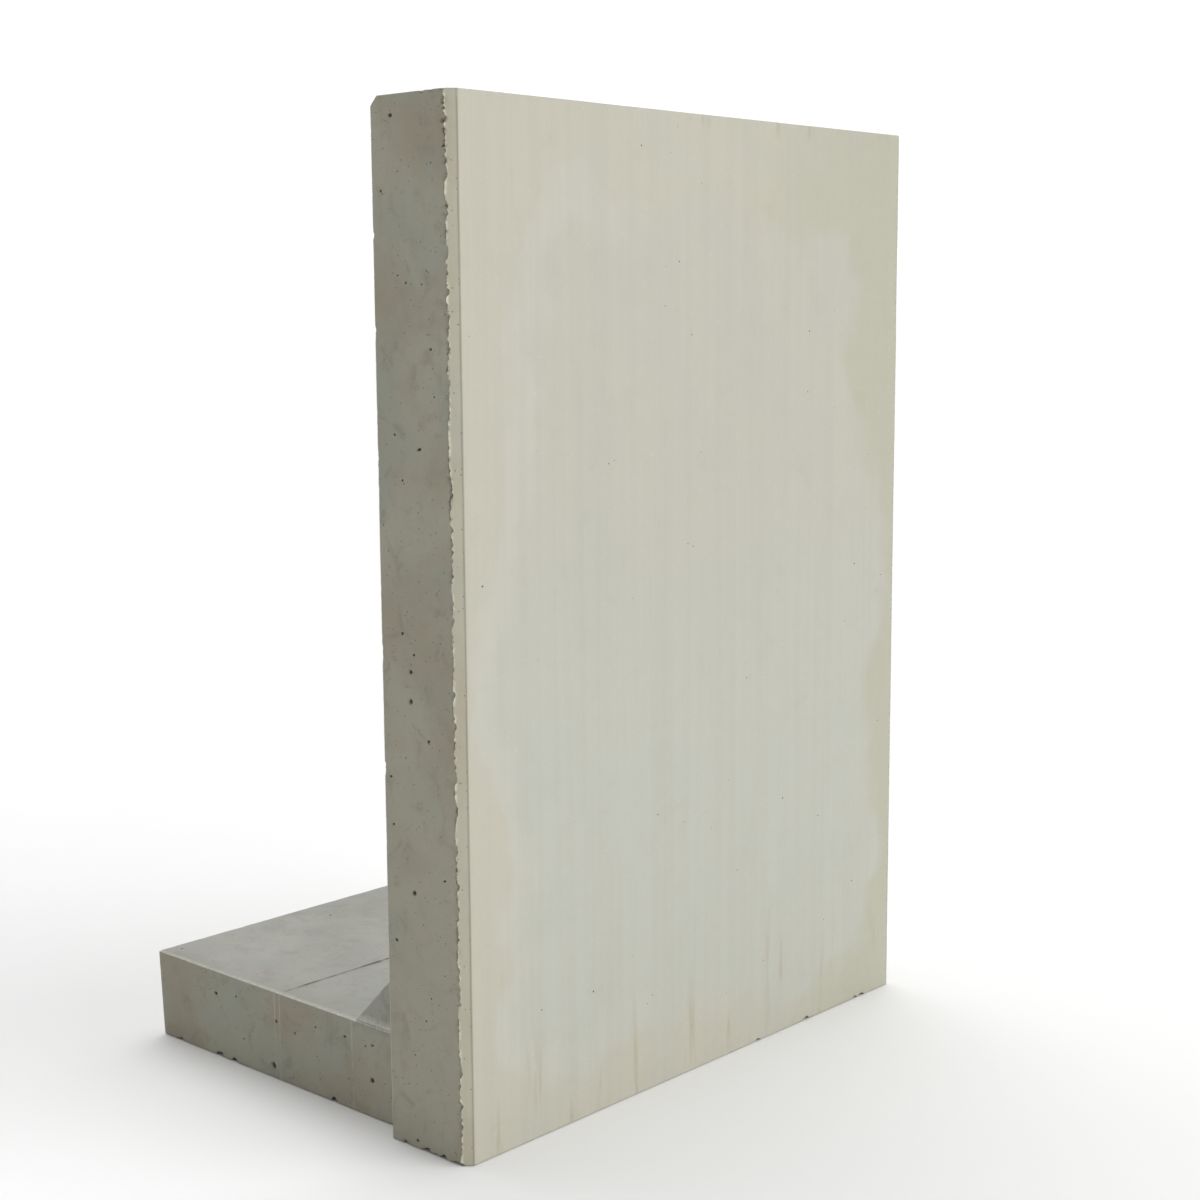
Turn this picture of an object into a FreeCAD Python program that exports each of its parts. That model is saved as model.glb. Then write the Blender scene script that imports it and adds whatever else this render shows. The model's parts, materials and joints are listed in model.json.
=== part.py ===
import FreeCAD, Part
import os

import Sketcher

# An L-shaped precast concrete retaining wall unit: an upright stem, a foot behind its lower edge, a haunch
# in the inner corner, and the steel, spacers and lifting sockets that are cast into it. Millimetres.
# X runs along the wall, Y from the front face towards the earth behind it, Z up. The origin is on the
# ground, under the middle of the box around the unit. The front face looks along -Y.

SIZES = {
    # The concrete
    "wall_height": 1400,
    "wall_length": 990,
    "base_depth": 730,
    "stem_thickness": 150,
    "foot_thickness": 135,
    "foot_setback": 29,
    "foot_end_draft": 8,
    "haunch_leg": 110,
    "haunch_setback": 4,
    "front_edge_chamfer": 13,
    "top_edge_chamfer": 12,
    # The reinforcing bars
    "bar_cover": 35,
    "main_bar": 10,
    "spread_bar": 8,
    "bar_gap": 0.4,
    "bend_ratio": 2.5,
    "side_step": 16,
    "main_bar_count": 7,
    "stem_spread_count": 6,
    "foot_spread_count": 3,
    "crossing_room": 40,
    "back_bar_leg": 300,
    "foot_top_bar_leg": 250,
    "diagonal_bar_leg": 200,
    "u_bar_leg": 250,
    "tie_wire": 1.4,
    # The spacers
    "face_film": 1,
    "wheel_width": 12,
    "wheel_wall": 3,
    "wheel_spoke": 2.5,
    "wheel_mouth": 8,
    "block_width": 18,
    "block_length": 30,
    "block_seat": 3,
    "block_inset": 60,
    # The lifting sockets
    "socket_flats": 27,
    "socket_length": 70,
    "thread_bore": 17.5,
    "thread_depth": 45,
    "tail_bar": 12,
    "tail_leg": 300,
    "tail_edge": 10,
    "recess_depth": 10,
    "recess_mouth": 60,
    "recess_floor": 44,
    "socket_room": 25,
}

# Faces of the concrete, as expressions on the sheet
FRONT_FACE = "(-sizes.base_depth / 2)"
FOOT_END = "(sizes.base_depth / 2)"
STEM_BACK = f"({FRONT_FACE} + sizes.stem_thickness)"
STEM_MIDDLE = f"({FRONT_FACE} + sizes.stem_thickness / 2)"
HAUNCH_TOP = "(sizes.foot_thickness + sizes.haunch_leg)"
HAUNCH_END = f"({STEM_BACK} + sizes.haunch_leg)"
FOOT_LENGTH = "(sizes.wall_length - 2 * sizes.foot_setback)"
HAUNCH_LENGTH = f"({FOOT_LENGTH} - 2 * sizes.haunch_setback)"
STEEL_END = f"({FOOT_END} - sizes.foot_end_draft - sizes.bar_cover)"
STEEL_TOP = "(sizes.wall_height - sizes.bar_cover)"

# Centre lines of the main bars' four layers, and of the spread bars that lie inside them
MAIN_EDGE = "(sizes.bar_cover + sizes.main_bar / 2)"
TIE_STEP = "(sizes.main_bar / 2 + sizes.spread_bar / 2 + sizes.bar_gap)"
FRONT_LAYER = f"({FRONT_FACE} + {MAIN_EDGE})"
BACK_LAYER = f"({STEM_BACK} - {MAIN_EDGE})"
BOTTOM_LAYER = MAIN_EDGE
TOP_LAYER = f"(sizes.foot_thickness - {MAIN_EDGE})"
FRONT_SPREAD = f"({FRONT_LAYER} + {TIE_STEP})"
BACK_SPREAD = f"({BACK_LAYER} - {TIE_STEP})"
BOTTOM_SPREAD = f"({BOTTOM_LAYER} + {TIE_STEP})"
TOP_SPREAD = f"({TOP_LAYER} - {TIE_STEP})"

# Bends, as radii of the centre line
MAIN_BEND = "(sizes.bend_ratio * sizes.main_bar)"
SPREAD_BEND = "(sizes.bend_ratio * sizes.spread_bar)"
TAIL_BEND = "(sizes.bend_ratio * sizes.tail_bar)"

# Places along the wall: the main bars stand at equal steps, and each mark that shares their layer is
# moved aside by the side step. The outermost bar keeps its cover from the foot's end face.
BAR_SPAN = f"({FOOT_LENGTH} - 2 * {MAIN_EDGE} - 2 * sizes.side_step)"
BAR_STEP = f"({BAR_SPAN} / (sizes.main_bar_count - 1))"
FIRST_BAR = f"(-{BAR_SPAN} / 2)"
FIRST_MIDDLE = f"({FIRST_BAR} + {BAR_STEP} / 2)"
MIDDLE_SPAN = f"({BAR_SPAN} - {BAR_STEP})"
STEM_SPREAD_LENGTH = "(sizes.wall_length - 2 * sizes.bar_cover)"
FOOT_SPREAD_LENGTH = f"({FOOT_LENGTH} - 2 * sizes.bar_cover)"

# The diagonal bars' centre line is where y plus z is this much: parallel to the haunch, under its cover
DIAGONAL = f"({STEM_BACK} + {HAUNCH_TOP} - sqrt(2) * {MAIN_EDGE})"

# Heights of the stem's spread bars: a row above the diagonal bars' crossing and below the sockets, and
# one bar on each face between the foot's top bars and that crossing
SOCKET_MOUTH = "(sizes.wall_height - sizes.recess_depth)"
SOCKET_FOOT = f"({SOCKET_MOUTH} - sizes.socket_length)"
STEM_ROW_LOW = f"({DIAGONAL} - {FRONT_SPREAD} + sizes.crossing_room)"
STEM_ROW_SPAN = f"({SOCKET_FOOT} - sizes.socket_room - {STEM_ROW_LOW})"
STEM_ROW_STEP = f"({STEM_ROW_SPAN} / (sizes.stem_spread_count - 1))"
FRONT_LOW_BAR = f"(({TOP_LAYER} + {MAIN_BEND} + {DIAGONAL} - {FRONT_SPREAD}) / 2)"
BACK_LOW_BAR = f"(({TOP_LAYER} + {DIAGONAL} - {BACK_SPREAD}) / 2)"

# Places of the foot's spread bars: one behind the back bars' hooks, and a row from the diagonal bars'
# crossing to the bend of the U-bars at the foot's end
FOOT_U_END = f"({STEEL_END} - sizes.spread_bar / 2)"
FOOT_U_BEND = f"(min({SPREAD_BEND}; ({TOP_LAYER} - {BOTTOM_LAYER}) * 0.49))"
FOOT_ROW_END = f"({FOOT_U_END} - {SPREAD_BEND})"
HOOK_BAR = f"({BACK_LAYER} + 2 * {MAIN_BEND})"
BOTTOM_ROW_START = f"({DIAGONAL} - {BOTTOM_SPREAD} + sizes.crossing_room)"
TOP_ROW_START = f"({DIAGONAL} - {TOP_SPREAD} + sizes.crossing_room)"

# The stem's U-bars close the mats below the top edge
STEM_U_TOP = f"({STEEL_TOP} - sizes.spread_bar / 2)"
STEM_U_BEND = f"(min({SPREAD_BEND}; ({BACK_LAYER} - {FRONT_LAYER}) * 0.49))"

# A socket stands midway between two main bars, and its tail bar crosses it above its foot
SOCKET_PLACE = f"(1.5 * {BAR_STEP})"
TAIL_CROSSING = f"({SOCKET_FOOT} + sizes.tail_edge + sizes.tail_bar / 2)"
TAIL_REACH = f"(sizes.socket_flats / 2 + {TAIL_BEND})"

document = FreeCAD.newDocument("retaining_wall_unit")
sheet = document.addObject("Spreadsheet::Sheet", "sizes")
for row, (alias, value) in enumerate(SIZES.items(), start=1):
    sheet.set(f"A{row}", alias)
    sheet.set(f"B{row}", str(value))
    sheet.setAlias(f"B{row}", alias)
document.recompute()

nodes = []


def number(expression):
    """The value that an expression has now."""
    return float(sheet.evalExpression(expression))


def new_body(label):
    """A body that may hold several separate solids, as a group of bars does."""
    body = document.addObject("PartDesign::Body", label)
    body.Label = label
    body.AllowCompound = True
    return body


def origin_part(body, role):
    """A plane or an axis of the body's own origin."""
    return next(part for part in body.Origin.OriginFeatures if part.Role == role)


def new_sketch(body, name, role, offset="0"):
    """A sketch on one of the body's origin planes, moved along that plane's normal."""
    sketch = body.newObject("Sketcher::SketchObject", name)
    sketch.AttachmentSupport = [(origin_part(body, role), "")]
    sketch.MapMode = "FlatFace"
    sketch.setExpression("AttachmentOffset.Base.z", offset)
    return sketch


def bind(sketch, kind, expression, *where):
    """A driving dimension whose value comes from the sheet."""
    index = sketch.addConstraint(Sketcher.Constraint(kind, *where, number(expression)))
    sketch.setExpression(f"Constraints[{index}]", expression)


def bind_point(sketch, geometry, position, across, along):
    """Ties a sketch point to its place in the sketch's plane."""
    bind(sketch, "DistanceX", across, -1, 1, geometry, position)
    bind(sketch, "DistanceY", along, -1, 1, geometry, position)


def add_lines(sketch, corners, closed):
    """Straight lines from corner to corner, joined end to end."""
    points = [FreeCAD.Vector(number(across), number(along), 0) for across, along in corners]
    ends = points[1:] + points[:1] if closed else points[1:]
    first = sketch.GeometryCount
    for start, end in zip(points, ends):
        sketch.addGeometry(Part.LineSegment(start, end))
    lines = list(range(first, sketch.GeometryCount))
    for line, following in zip(lines, lines[1:]):
        sketch.addConstraint(Sketcher.Constraint("Coincident", line, 2, following, 1))
    if closed:
        sketch.addConstraint(Sketcher.Constraint("Coincident", lines[-1], 2, lines[0], 1))
    return lines


def add_outline(sketch, corners):
    """A closed outline with every corner tied to the sheet."""
    for line, (across, along) in zip(add_lines(sketch, corners, closed=True), corners):
        bind_point(sketch, line, 1, across, along)


def add_circle(sketch, across, along, diameter):
    """A circle with its centre and size tied to the sheet."""
    centre = FreeCAD.Vector(number(across), number(along), 0)
    axis = FreeCAD.Vector(0, 0, 1)
    circle = sketch.addGeometry(Part.Circle(centre, axis, number(diameter) / 2))
    bind_point(sketch, circle, 3, across, along)
    bind(sketch, "Diameter", diameter, circle)


def add_hexagon(sketch, across, along, flats):
    """A hexagon with flats to its two sides, by the width across them."""
    side, tip = f"({flats} / sqrt(12))", f"({flats} / sqrt(3))"
    left, right = f"({across} - {flats} / 2)", f"({across} + {flats} / 2)"
    low, high = f"({along} - {side})", f"({along} + {side})"
    corners = [
        (left, low),
        (across, f"({along} - {tip})"),
        (right, low),
        (right, high),
        (across, f"({along} + {tip})"),
        (left, high),
    ]
    add_outline(sketch, corners)


def add_bent_path(sketch, corners, bend):
    """An open path with the same bend at each inner corner. The corners stay as dimensioned points."""
    lines = add_lines(sketch, corners, closed=False)
    for line, (across, along) in zip(lines[:-1], corners[1:-1]):
        sketch.fillet(line, 2, number(bend), True, True)
        arc, corner = sketch.GeometryCount - 2, sketch.GeometryCount - 1
        bind(sketch, "Radius", bend, arc)
        bind_point(sketch, corner, 1, across, along)
    bind_point(sketch, lines[0], 1, *corners[0])
    bind_point(sketch, lines[-1], 2, *corners[-1])


def pad(body, name, sketch, length, symmetric=True):
    """Material added along the sketch's normal."""
    feature = body.newObject("PartDesign::Pad", name)
    feature.Profile = sketch
    feature.SideType = "Symmetric" if symmetric else "One side"
    feature.setExpression("Length", length)
    body.Tip = feature
    return feature


def pocket(body, name, sketch, length, symmetric=True, upwards=False):
    """Material cut away along the sketch's normal, or against it. It has to remove something."""
    document.recompute()
    before = body.Shape.Volume
    feature = body.newObject("PartDesign::Pocket", name)
    feature.Profile = sketch
    feature.SideType = "Symmetric" if symmetric else "One side"
    feature.Reversed = upwards
    feature.setExpression("Length", length)
    body.Tip = feature
    document.recompute()
    if not body.Shape.Volume < before:
        raise RuntimeError(f"{body.Label}: {name} removes nothing")
    return feature


def row_of(body, name, feature, axis, span, count):
    """Repeats one feature at equal steps along an axis."""
    pattern = body.newObject("PartDesign::LinearPattern", name)
    pattern.Originals = [feature]
    pattern.Direction = (origin_part(body, axis), [""])
    pattern.setExpression("Length", span)
    pattern.setExpression("Occurrences", count)
    body.Tip = pattern
    return pattern


def repeat_body(body, name, axis, span, count):
    """Repeats everything made so far in a body at equal steps along an axis."""
    pattern = row_of(body, name, body.Tip, axis, span, count)
    pattern.Originals = []
    pattern.TransformMode = "Whole shape"
    return pattern


def keep(item):
    """Files an object as one of the unit's nodes."""
    nodes.append(item)
    return item


def bent_bars(label, diameter, bend, corners, first, span, count):
    """Equal bars in planes across the wall, each bent along the same path. Their first run is upright."""
    body = new_body(label)
    path = new_sketch(body, f"{label}_path", "YZ_Plane", first)
    add_bent_path(path, corners, bend)
    start_across, start_height = corners[0]
    section = new_sketch(body, f"{label}_section", "XY_Plane", start_height)
    add_circle(section, first, start_across, diameter)
    bar = body.newObject("PartDesign::AdditivePipe", f"{label}_bar")
    bar.Profile = section
    bar.Spine = (path, [])
    row_of(body, f"{label}_row", bar, "X_Axis", span, count)
    return keep(body)


def spread_bars(label, length, singles, row=None):
    """Straight bars along the wall: single ones, and a row of them at equal steps along an axis."""
    body = new_body(label)
    if row:
        place, axis, span, count = row
        section = new_sketch(body, f"{label}_row_section", "YZ_Plane")
        add_circle(section, *place, "sizes.spread_bar")
        row_of(body, f"{label}_row", pad(body, f"{label}_first", section, length), axis, span, count)
    for index, place in enumerate(singles):
        section = new_sketch(body, f"{label}_section_{index}", "YZ_Plane")
        add_circle(section, *place, "sizes.spread_bar")
        pad(body, f"{label}_single_{index}", section, length)
    return keep(body)


def tie_wires(label, stack_middle):
    """Wire rings around the crossings of a stem mat's main bars with its lowest and highest spread bars.

    Each ring stands diagonally across its crossing and holds both bars.
    """
    body = new_body(label)
    ring = body.newObject("PartDesign::AdditiveTorus", f"{label}_ring")
    stack = "(sizes.main_bar + sizes.spread_bar + sizes.bar_gap)"
    ring.setExpression("Radius1", f"{stack} / 2 + sizes.bar_gap + sizes.tie_wire / 2")
    ring.setExpression("Radius2", "sizes.tie_wire / 2")
    ring.AttachmentSupport = [(origin_part(body, "XY_Plane"), "")]
    ring.MapMode = "FlatFace"
    ring.setExpression("AttachmentOffset.Base.x", FIRST_BAR)
    ring.setExpression("AttachmentOffset.Base.y", stack_middle)
    ring.setExpression("AttachmentOffset.Base.z", STEM_ROW_LOW)
    ring.AttachmentOffset.Rotation = FreeCAD.Rotation(FreeCAD.Vector(0, 1, 0), 135)
    body.Tip = ring
    repeat_body(body, f"{label}_along", "X_Axis", BAR_SPAN, "sizes.main_bar_count")
    repeat_body(body, f"{label}_up", "Z_Axis", STEM_ROW_SPAN, "2")
    return keep(body)


def cover_wheels(label, layer, across, first, span, height):
    """Plastic wheels clipped on the upright bars, four in all, whose rims stop just short of the face."""
    body = new_body(label)
    rim = f"(2 * ({MAIN_EDGE} - sizes.face_film))"
    bore = "(sizes.main_bar + 2 * sizes.bar_gap)"
    wall = "(2 * sizes.wheel_wall)"
    middle = f"({height} + sizes.wheel_width / 2)"

    def slab(name, *circles):
        sketch = new_sketch(body, f"{label}_{name}", "XY_Plane", middle)
        for diameter in circles:
            add_circle(sketch, first, layer, diameter)
        return pad(body, f"{label}_{name}_pad", sketch, "sizes.wheel_width")

    slab("rim", rim, f"({rim} - {wall})")
    slab("hub", f"({bore} + {wall})")
    reach = f"({rim} / 2 - sizes.wheel_wall / 2)"
    half = "(sizes.wheel_spoke / 2)"
    low, high = f"({layer} - {half})", f"({layer} + {half})"
    near, far = f"({first} - {reach})", f"({first} + {reach})"
    sketch = new_sketch(body, f"{label}_spokes", "XY_Plane", middle)
    add_outline(sketch, [(near, low), (far, low), (far, high), (near, high)])
    pad(body, f"{label}_spokes_pad", sketch, "sizes.wheel_width")
    sketch = new_sketch(body, f"{label}_bore", "XY_Plane", middle)
    add_circle(sketch, first, layer, bore)
    pocket(body, f"{label}_bore_cut", sketch, "sizes.wheel_width")
    mouth = "(sizes.wheel_mouth / 2)"
    left, right, rear = f"({first} - {mouth})", f"({first} + {mouth})", f"({layer} {across} {rim} / 2)"
    sketch = new_sketch(body, f"{label}_mouth", "XY_Plane", middle)
    add_outline(sketch, [(left, layer), (right, layer), (right, rear), (left, rear)])
    pocket(body, f"{label}_mouth_cut", sketch, "sizes.wheel_width")
    repeat_body(body, f"{label}_along", "X_Axis", span, "2")
    repeat_body(body, f"{label}_up", "Z_Axis", f"(2 * {STEM_ROW_STEP})", "2")
    return keep(body)


def cover_blocks(label):
    """Small blocks under every other front bar's run along the foot's underside, with a seat for the bar."""
    body = new_body(label)
    half = "(sizes.block_width / 2)"
    left, right = f"({FIRST_BAR} - {half})", f"({FIRST_BAR} + {half})"
    low, high = "sizes.face_film", "(sizes.bar_cover + sizes.block_seat)"
    sketch = new_sketch(body, f"{label}_outline", "XZ_Plane", f"(-{BACK_LAYER})")
    add_outline(sketch, [(left, low), (right, low), (right, high), (left, high)])
    pad(body, f"{label}_block", sketch, "sizes.block_length")
    sketch = new_sketch(body, f"{label}_seat", "XZ_Plane", f"(-{BACK_LAYER})")
    add_circle(sketch, FIRST_BAR, BOTTOM_LAYER, "(sizes.main_bar + 2 * sizes.bar_gap)")
    pocket(body, f"{label}_seat_cut", sketch, "sizes.block_length")
    repeat_body(body, f"{label}_along", "X_Axis", BAR_SPAN, "floor((sizes.main_bar_count + 1) / 2)")
    repeat_body(body, f"{label}_back", "Y_Axis", f"({FOOT_ROW_END} - sizes.block_inset - {BACK_LAYER})", "2")
    return keep(body)


def foot_end_u_bars(label):
    """U-bars that close the foot's two mats at its rear end, between the main bars."""
    body = new_body(label)
    first = f"({FIRST_MIDDLE} + sizes.side_step)"
    leg_end = f"({FOOT_U_END} - sizes.u_bar_leg)"
    corners = [
        (leg_end, BOTTOM_LAYER),
        (FOOT_U_END, BOTTOM_LAYER),
        (FOOT_U_END, TOP_LAYER),
        (leg_end, TOP_LAYER),
    ]
    path = new_sketch(body, f"{label}_path", "YZ_Plane", first)
    add_bent_path(path, corners, FOOT_U_BEND)
    section = new_sketch(body, f"{label}_section", "XZ_Plane", f"(-{leg_end})")
    add_circle(section, first, BOTTOM_LAYER, "sizes.spread_bar")
    bar = body.newObject("PartDesign::AdditivePipe", f"{label}_bar")
    bar.Profile = section
    bar.Spine = (path, [])
    row_of(body, f"{label}_row", bar, "X_Axis", MIDDLE_SPAN, "sizes.main_bar_count - 1")
    return keep(body)


def lifting_socket(label, place):
    """A hexagonal steel socket with a cross hole for its tail bar. A plain bore stands for its thread."""
    body = new_body(label)
    sketch = new_sketch(body, f"{label}_barrel", "XY_Plane", SOCKET_FOOT)
    add_hexagon(sketch, place, STEM_MIDDLE, "sizes.socket_flats")
    pad(body, f"{label}_barrel_pad", sketch, "sizes.socket_length", symmetric=False)
    sketch = new_sketch(body, f"{label}_thread", "XY_Plane", SOCKET_MOUTH)
    add_circle(sketch, place, STEM_MIDDLE, "sizes.thread_bore")
    pocket(body, f"{label}_thread_cut", sketch, "sizes.thread_depth", symmetric=False)
    sketch = new_sketch(body, f"{label}_cross_hole", "YZ_Plane", place)
    add_circle(sketch, STEM_MIDDLE, TAIL_CROSSING, "(sizes.tail_bar + 2 * sizes.bar_gap)")
    pocket(body, f"{label}_cross_hole_cut", sketch, "(2 * sizes.socket_flats)")
    return keep(body)


def lifting_tail_bar(label, place):
    """A hairpin bar through a socket's cross hole, with both legs down in the middle of the stem."""
    body = new_body(label)
    near, far = f"({place} - {TAIL_REACH})", f"({place} + {TAIL_REACH})"
    leg_end = f"({TAIL_CROSSING} - sizes.tail_leg)"
    corners = [(near, leg_end), (near, TAIL_CROSSING), (far, TAIL_CROSSING), (far, leg_end)]
    path = new_sketch(body, f"{label}_path", "XZ_Plane", f"(-{STEM_MIDDLE})")
    add_bent_path(path, corners, TAIL_BEND)
    section = new_sketch(body, f"{label}_section", "XY_Plane", leg_end)
    add_circle(section, near, STEM_MIDDLE, "sizes.tail_bar")
    bar = body.newObject("PartDesign::AdditivePipe", f"{label}_bar")
    bar.Profile = section
    bar.Spine = (path, [])
    body.Tip = bar
    return keep(body)


def casting_outline(socket_places):
    """The concrete as the mould shapes it, before room is made for what is cast in."""
    body = new_body("casting_outline")
    top, chamfer = "sizes.wall_height", "sizes.top_edge_chamfer"
    sketch = new_sketch(body, "stem_profile", "YZ_Plane")
    stem = [
        (FRONT_FACE, "0"),
        (STEM_BACK, "0"),
        (STEM_BACK, f"({top} - {chamfer})"),
        (f"({STEM_BACK} - {chamfer})", top),
        (FRONT_FACE, top),
    ]
    add_outline(sketch, stem)
    pad(body, "stem", sketch, "sizes.wall_length")
    sketch = new_sketch(body, "foot_profile", "YZ_Plane")
    foot = [
        (STEM_BACK, "0"),
        (f"({FOOT_END} - sizes.foot_end_draft)", "0"),
        (FOOT_END, "sizes.foot_thickness"),
        (STEM_BACK, "sizes.foot_thickness"),
    ]
    add_outline(sketch, foot)
    pad(body, "foot", sketch, FOOT_LENGTH)
    sketch = new_sketch(body, "haunch_profile", "YZ_Plane")
    foot_top = "sizes.foot_thickness"
    add_outline(sketch, [(STEM_BACK, foot_top), (HAUNCH_END, foot_top), (STEM_BACK, HAUNCH_TOP)])
    pad(body, "haunch", sketch, HAUNCH_LENGTH)
    end, cut = "(sizes.wall_length / 2)", "sizes.front_edge_chamfer"
    for side, sign in (("left", "-"), ("right", "+")):
        edge, inner = f"({sign}{end})", f"({sign}({end} - {cut}))"
        sketch = new_sketch(body, f"{side}_edge", "XY_Plane")
        add_outline(sketch, [(edge, FRONT_FACE), (inner, FRONT_FACE), (edge, f"({FRONT_FACE} + {cut})")])
        pocket(body, f"{side}_edge_cut", sketch, top, symmetric=False, upwards=True)
    for index, place in enumerate(socket_places):
        recess = body.newObject("PartDesign::SubtractiveCone", f"recess_{index}")
        recess.AttachmentSupport = [(origin_part(body, "XY_Plane"), "")]
        recess.MapMode = "FlatFace"
        recess.setExpression("AttachmentOffset.Base.x", place)
        recess.setExpression("AttachmentOffset.Base.y", STEM_MIDDLE)
        recess.setExpression("AttachmentOffset.Base.z", SOCKET_MOUTH)
        recess.setExpression("Radius1", "sizes.recess_floor / 2")
        recess.setExpression("Radius2", "sizes.recess_mouth / 2")
        recess.setExpression("Height", "sizes.recess_depth")
        body.Tip = recess
        room = body.newObject("PartDesign::SubtractiveCylinder", f"thread_room_{index}")
        room.AttachmentSupport = [(origin_part(body, "XY_Plane"), "")]
        room.MapMode = "FlatFace"
        depth = "(sizes.thread_depth + sizes.bar_gap)"
        room.setExpression("AttachmentOffset.Base.x", place)
        room.setExpression("AttachmentOffset.Base.y", STEM_MIDDLE)
        room.setExpression("AttachmentOffset.Base.z", f"{SOCKET_MOUTH} - {depth}")
        room.setExpression("Radius", "(sizes.thread_bore + sizes.socket_flats) / 4")
        room.setExpression("Height", depth)
        body.Tip = room
    return body


def build_reinforcement():
    """Every bar, tie and spacer of the cage."""
    aside = "sizes.side_step"
    bar_row = (BAR_SPAN, "sizes.main_bar_count")
    hook_end = f"({BACK_LAYER} + sizes.back_bar_leg)"
    turned_up = f"({TOP_LAYER} + sizes.foot_top_bar_leg)"
    u_leg_end = f"({STEM_U_TOP} - sizes.u_bar_leg)"
    upper_bend = f"({DIAGONAL} - {FRONT_LAYER})"
    lower_bend = f"({DIAGONAL} - {BOTTOM_LAYER})"
    bent_bars(
        "stem_front_bars", "sizes.main_bar", MAIN_BEND,
        [(FRONT_LAYER, STEEL_TOP), (FRONT_LAYER, BOTTOM_LAYER), (STEEL_END, BOTTOM_LAYER)],
        FIRST_BAR, *bar_row,
    )
    bent_bars(
        "stem_back_bars", "sizes.main_bar", MAIN_BEND,
        [(BACK_LAYER, STEEL_TOP), (BACK_LAYER, BOTTOM_LAYER), (hook_end, BOTTOM_LAYER)],
        f"({FIRST_BAR} + {aside})", *bar_row,
    )
    bent_bars(
        "foot_top_bars", "sizes.main_bar", MAIN_BEND,
        [(FRONT_LAYER, turned_up), (FRONT_LAYER, TOP_LAYER), (STEEL_END, TOP_LAYER)],
        f"({FIRST_BAR} - {aside})", *bar_row,
    )
    bent_bars(
        "haunch_diagonal_bars", "sizes.main_bar", MAIN_BEND,
        [
            (FRONT_LAYER, f"({upper_bend} + sizes.diagonal_bar_leg)"),
            (FRONT_LAYER, upper_bend),
            (lower_bend, BOTTOM_LAYER),
            (f"({lower_bend} + sizes.diagonal_bar_leg)", BOTTOM_LAYER),
        ],
        FIRST_MIDDLE, MIDDLE_SPAN, "sizes.main_bar_count - 1",
    )
    bent_bars(
        "stem_top_u_bars", "sizes.spread_bar", STEM_U_BEND,
        [
            (FRONT_LAYER, u_leg_end),
            (FRONT_LAYER, STEM_U_TOP),
            (BACK_LAYER, STEM_U_TOP),
            (BACK_LAYER, u_leg_end),
        ],
        f"({FIRST_BAR} - {aside})", *bar_row,
    )
    foot_end_u_bars("foot_end_u_bars")

    stem_row = ("Z_Axis", STEM_ROW_SPAN, "sizes.stem_spread_count")
    foot_count = "sizes.foot_spread_count"
    spread_bars(
        "stem_front_spread_bars", STEM_SPREAD_LENGTH,
        [(FRONT_SPREAD, FRONT_LOW_BAR)], ((FRONT_SPREAD, STEM_ROW_LOW), *stem_row),
    )
    spread_bars(
        "stem_back_spread_bars", STEM_SPREAD_LENGTH,
        [(BACK_SPREAD, BACK_LOW_BAR)], ((BACK_SPREAD, STEM_ROW_LOW), *stem_row),
    )
    spread_bars(
        "foot_bottom_spread_bars", FOOT_SPREAD_LENGTH,
        [(STEM_MIDDLE, BOTTOM_SPREAD), (HOOK_BAR, BOTTOM_SPREAD)],
        ((BOTTOM_ROW_START, BOTTOM_SPREAD), "Y_Axis", f"({FOOT_ROW_END} - {BOTTOM_ROW_START})", foot_count),
    )
    spread_bars(
        "foot_top_spread_bars", FOOT_SPREAD_LENGTH,
        [(HOOK_BAR, TOP_SPREAD)],
        ((TOP_ROW_START, TOP_SPREAD), "Y_Axis", f"({FOOT_ROW_END} - {TOP_ROW_START})", foot_count),
    )
    inside = f"({DIAGONAL} - sqrt(2) * {TIE_STEP})"
    lean = f"({STEM_BACK} - sizes.foot_thickness)"
    spread_bars(
        "haunch_spread_bar", HAUNCH_LENGTH + " - 2 * sizes.bar_cover",
        [(f"(({inside} + {lean}) / 2)", f"(({inside} - {lean}) / 2)")],
    )

    half_stack = "(sizes.spread_bar + sizes.bar_gap) / 2"
    tie_wires("front_tie_wires", f"({FRONT_LAYER} + {half_stack})")
    tie_wires("back_tie_wires", f"({BACK_LAYER} - {half_stack})")
    cover_wheels(
        "front_cover_wheels", FRONT_LAYER, "+", f"({FIRST_BAR} + {BAR_STEP})",
        f"({BAR_SPAN} - 2 * {BAR_STEP})", f"({STEM_ROW_LOW} + {STEM_ROW_STEP} / 2)",
    )
    cover_wheels(
        "back_cover_wheels", BACK_LAYER, "-", f"({FIRST_BAR} + {aside})",
        BAR_SPAN, f"({STEM_ROW_LOW} + 3 * {STEM_ROW_STEP} / 2)",
    )
    cover_blocks("bottom_cover_blocks")


def build_lifting_gear(places):
    """The sockets in the top edge, and their tail bars."""
    for side, place in places.items():
        lifting_socket(f"lifting_socket_{side}", place)
        lifting_tail_bar(f"lifting_tail_bar_{side}", place)


def build_casting(places):
    """The concrete, with room for exactly what is cast into it."""
    outline = casting_outline(places.values())
    embedded = document.addObject("Part::Compound", "embedded_pieces")
    embedded.Links = list(nodes)
    casting = document.addObject("Part::Cut", "concrete_casting")
    casting.Label = "concrete_casting"
    casting.Base = outline
    casting.Tool = embedded
    return keep(casting)


def check_and_write():
    """Stops on anything that failed, then writes one file for each node."""
    for item in document.Objects:
        if "Invalid" in item.State or "Error" in item.State:
            raise RuntimeError(f"{item.Label} failed: {item.State}")
    for item in nodes:
        if item.Shape.isNull() or not item.Shape.isValid():
            raise RuntimeError(f"{item.Label} has no valid shape")
    os.makedirs("parts", exist_ok=True)
    for item in nodes:
        item.Shape.exportStep(f"parts/{item.Label}.step")
        print(f"{item.Label}: {len(item.Shape.Solids)} solids, {item.Shape.Volume:.0f} mm3")


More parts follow.
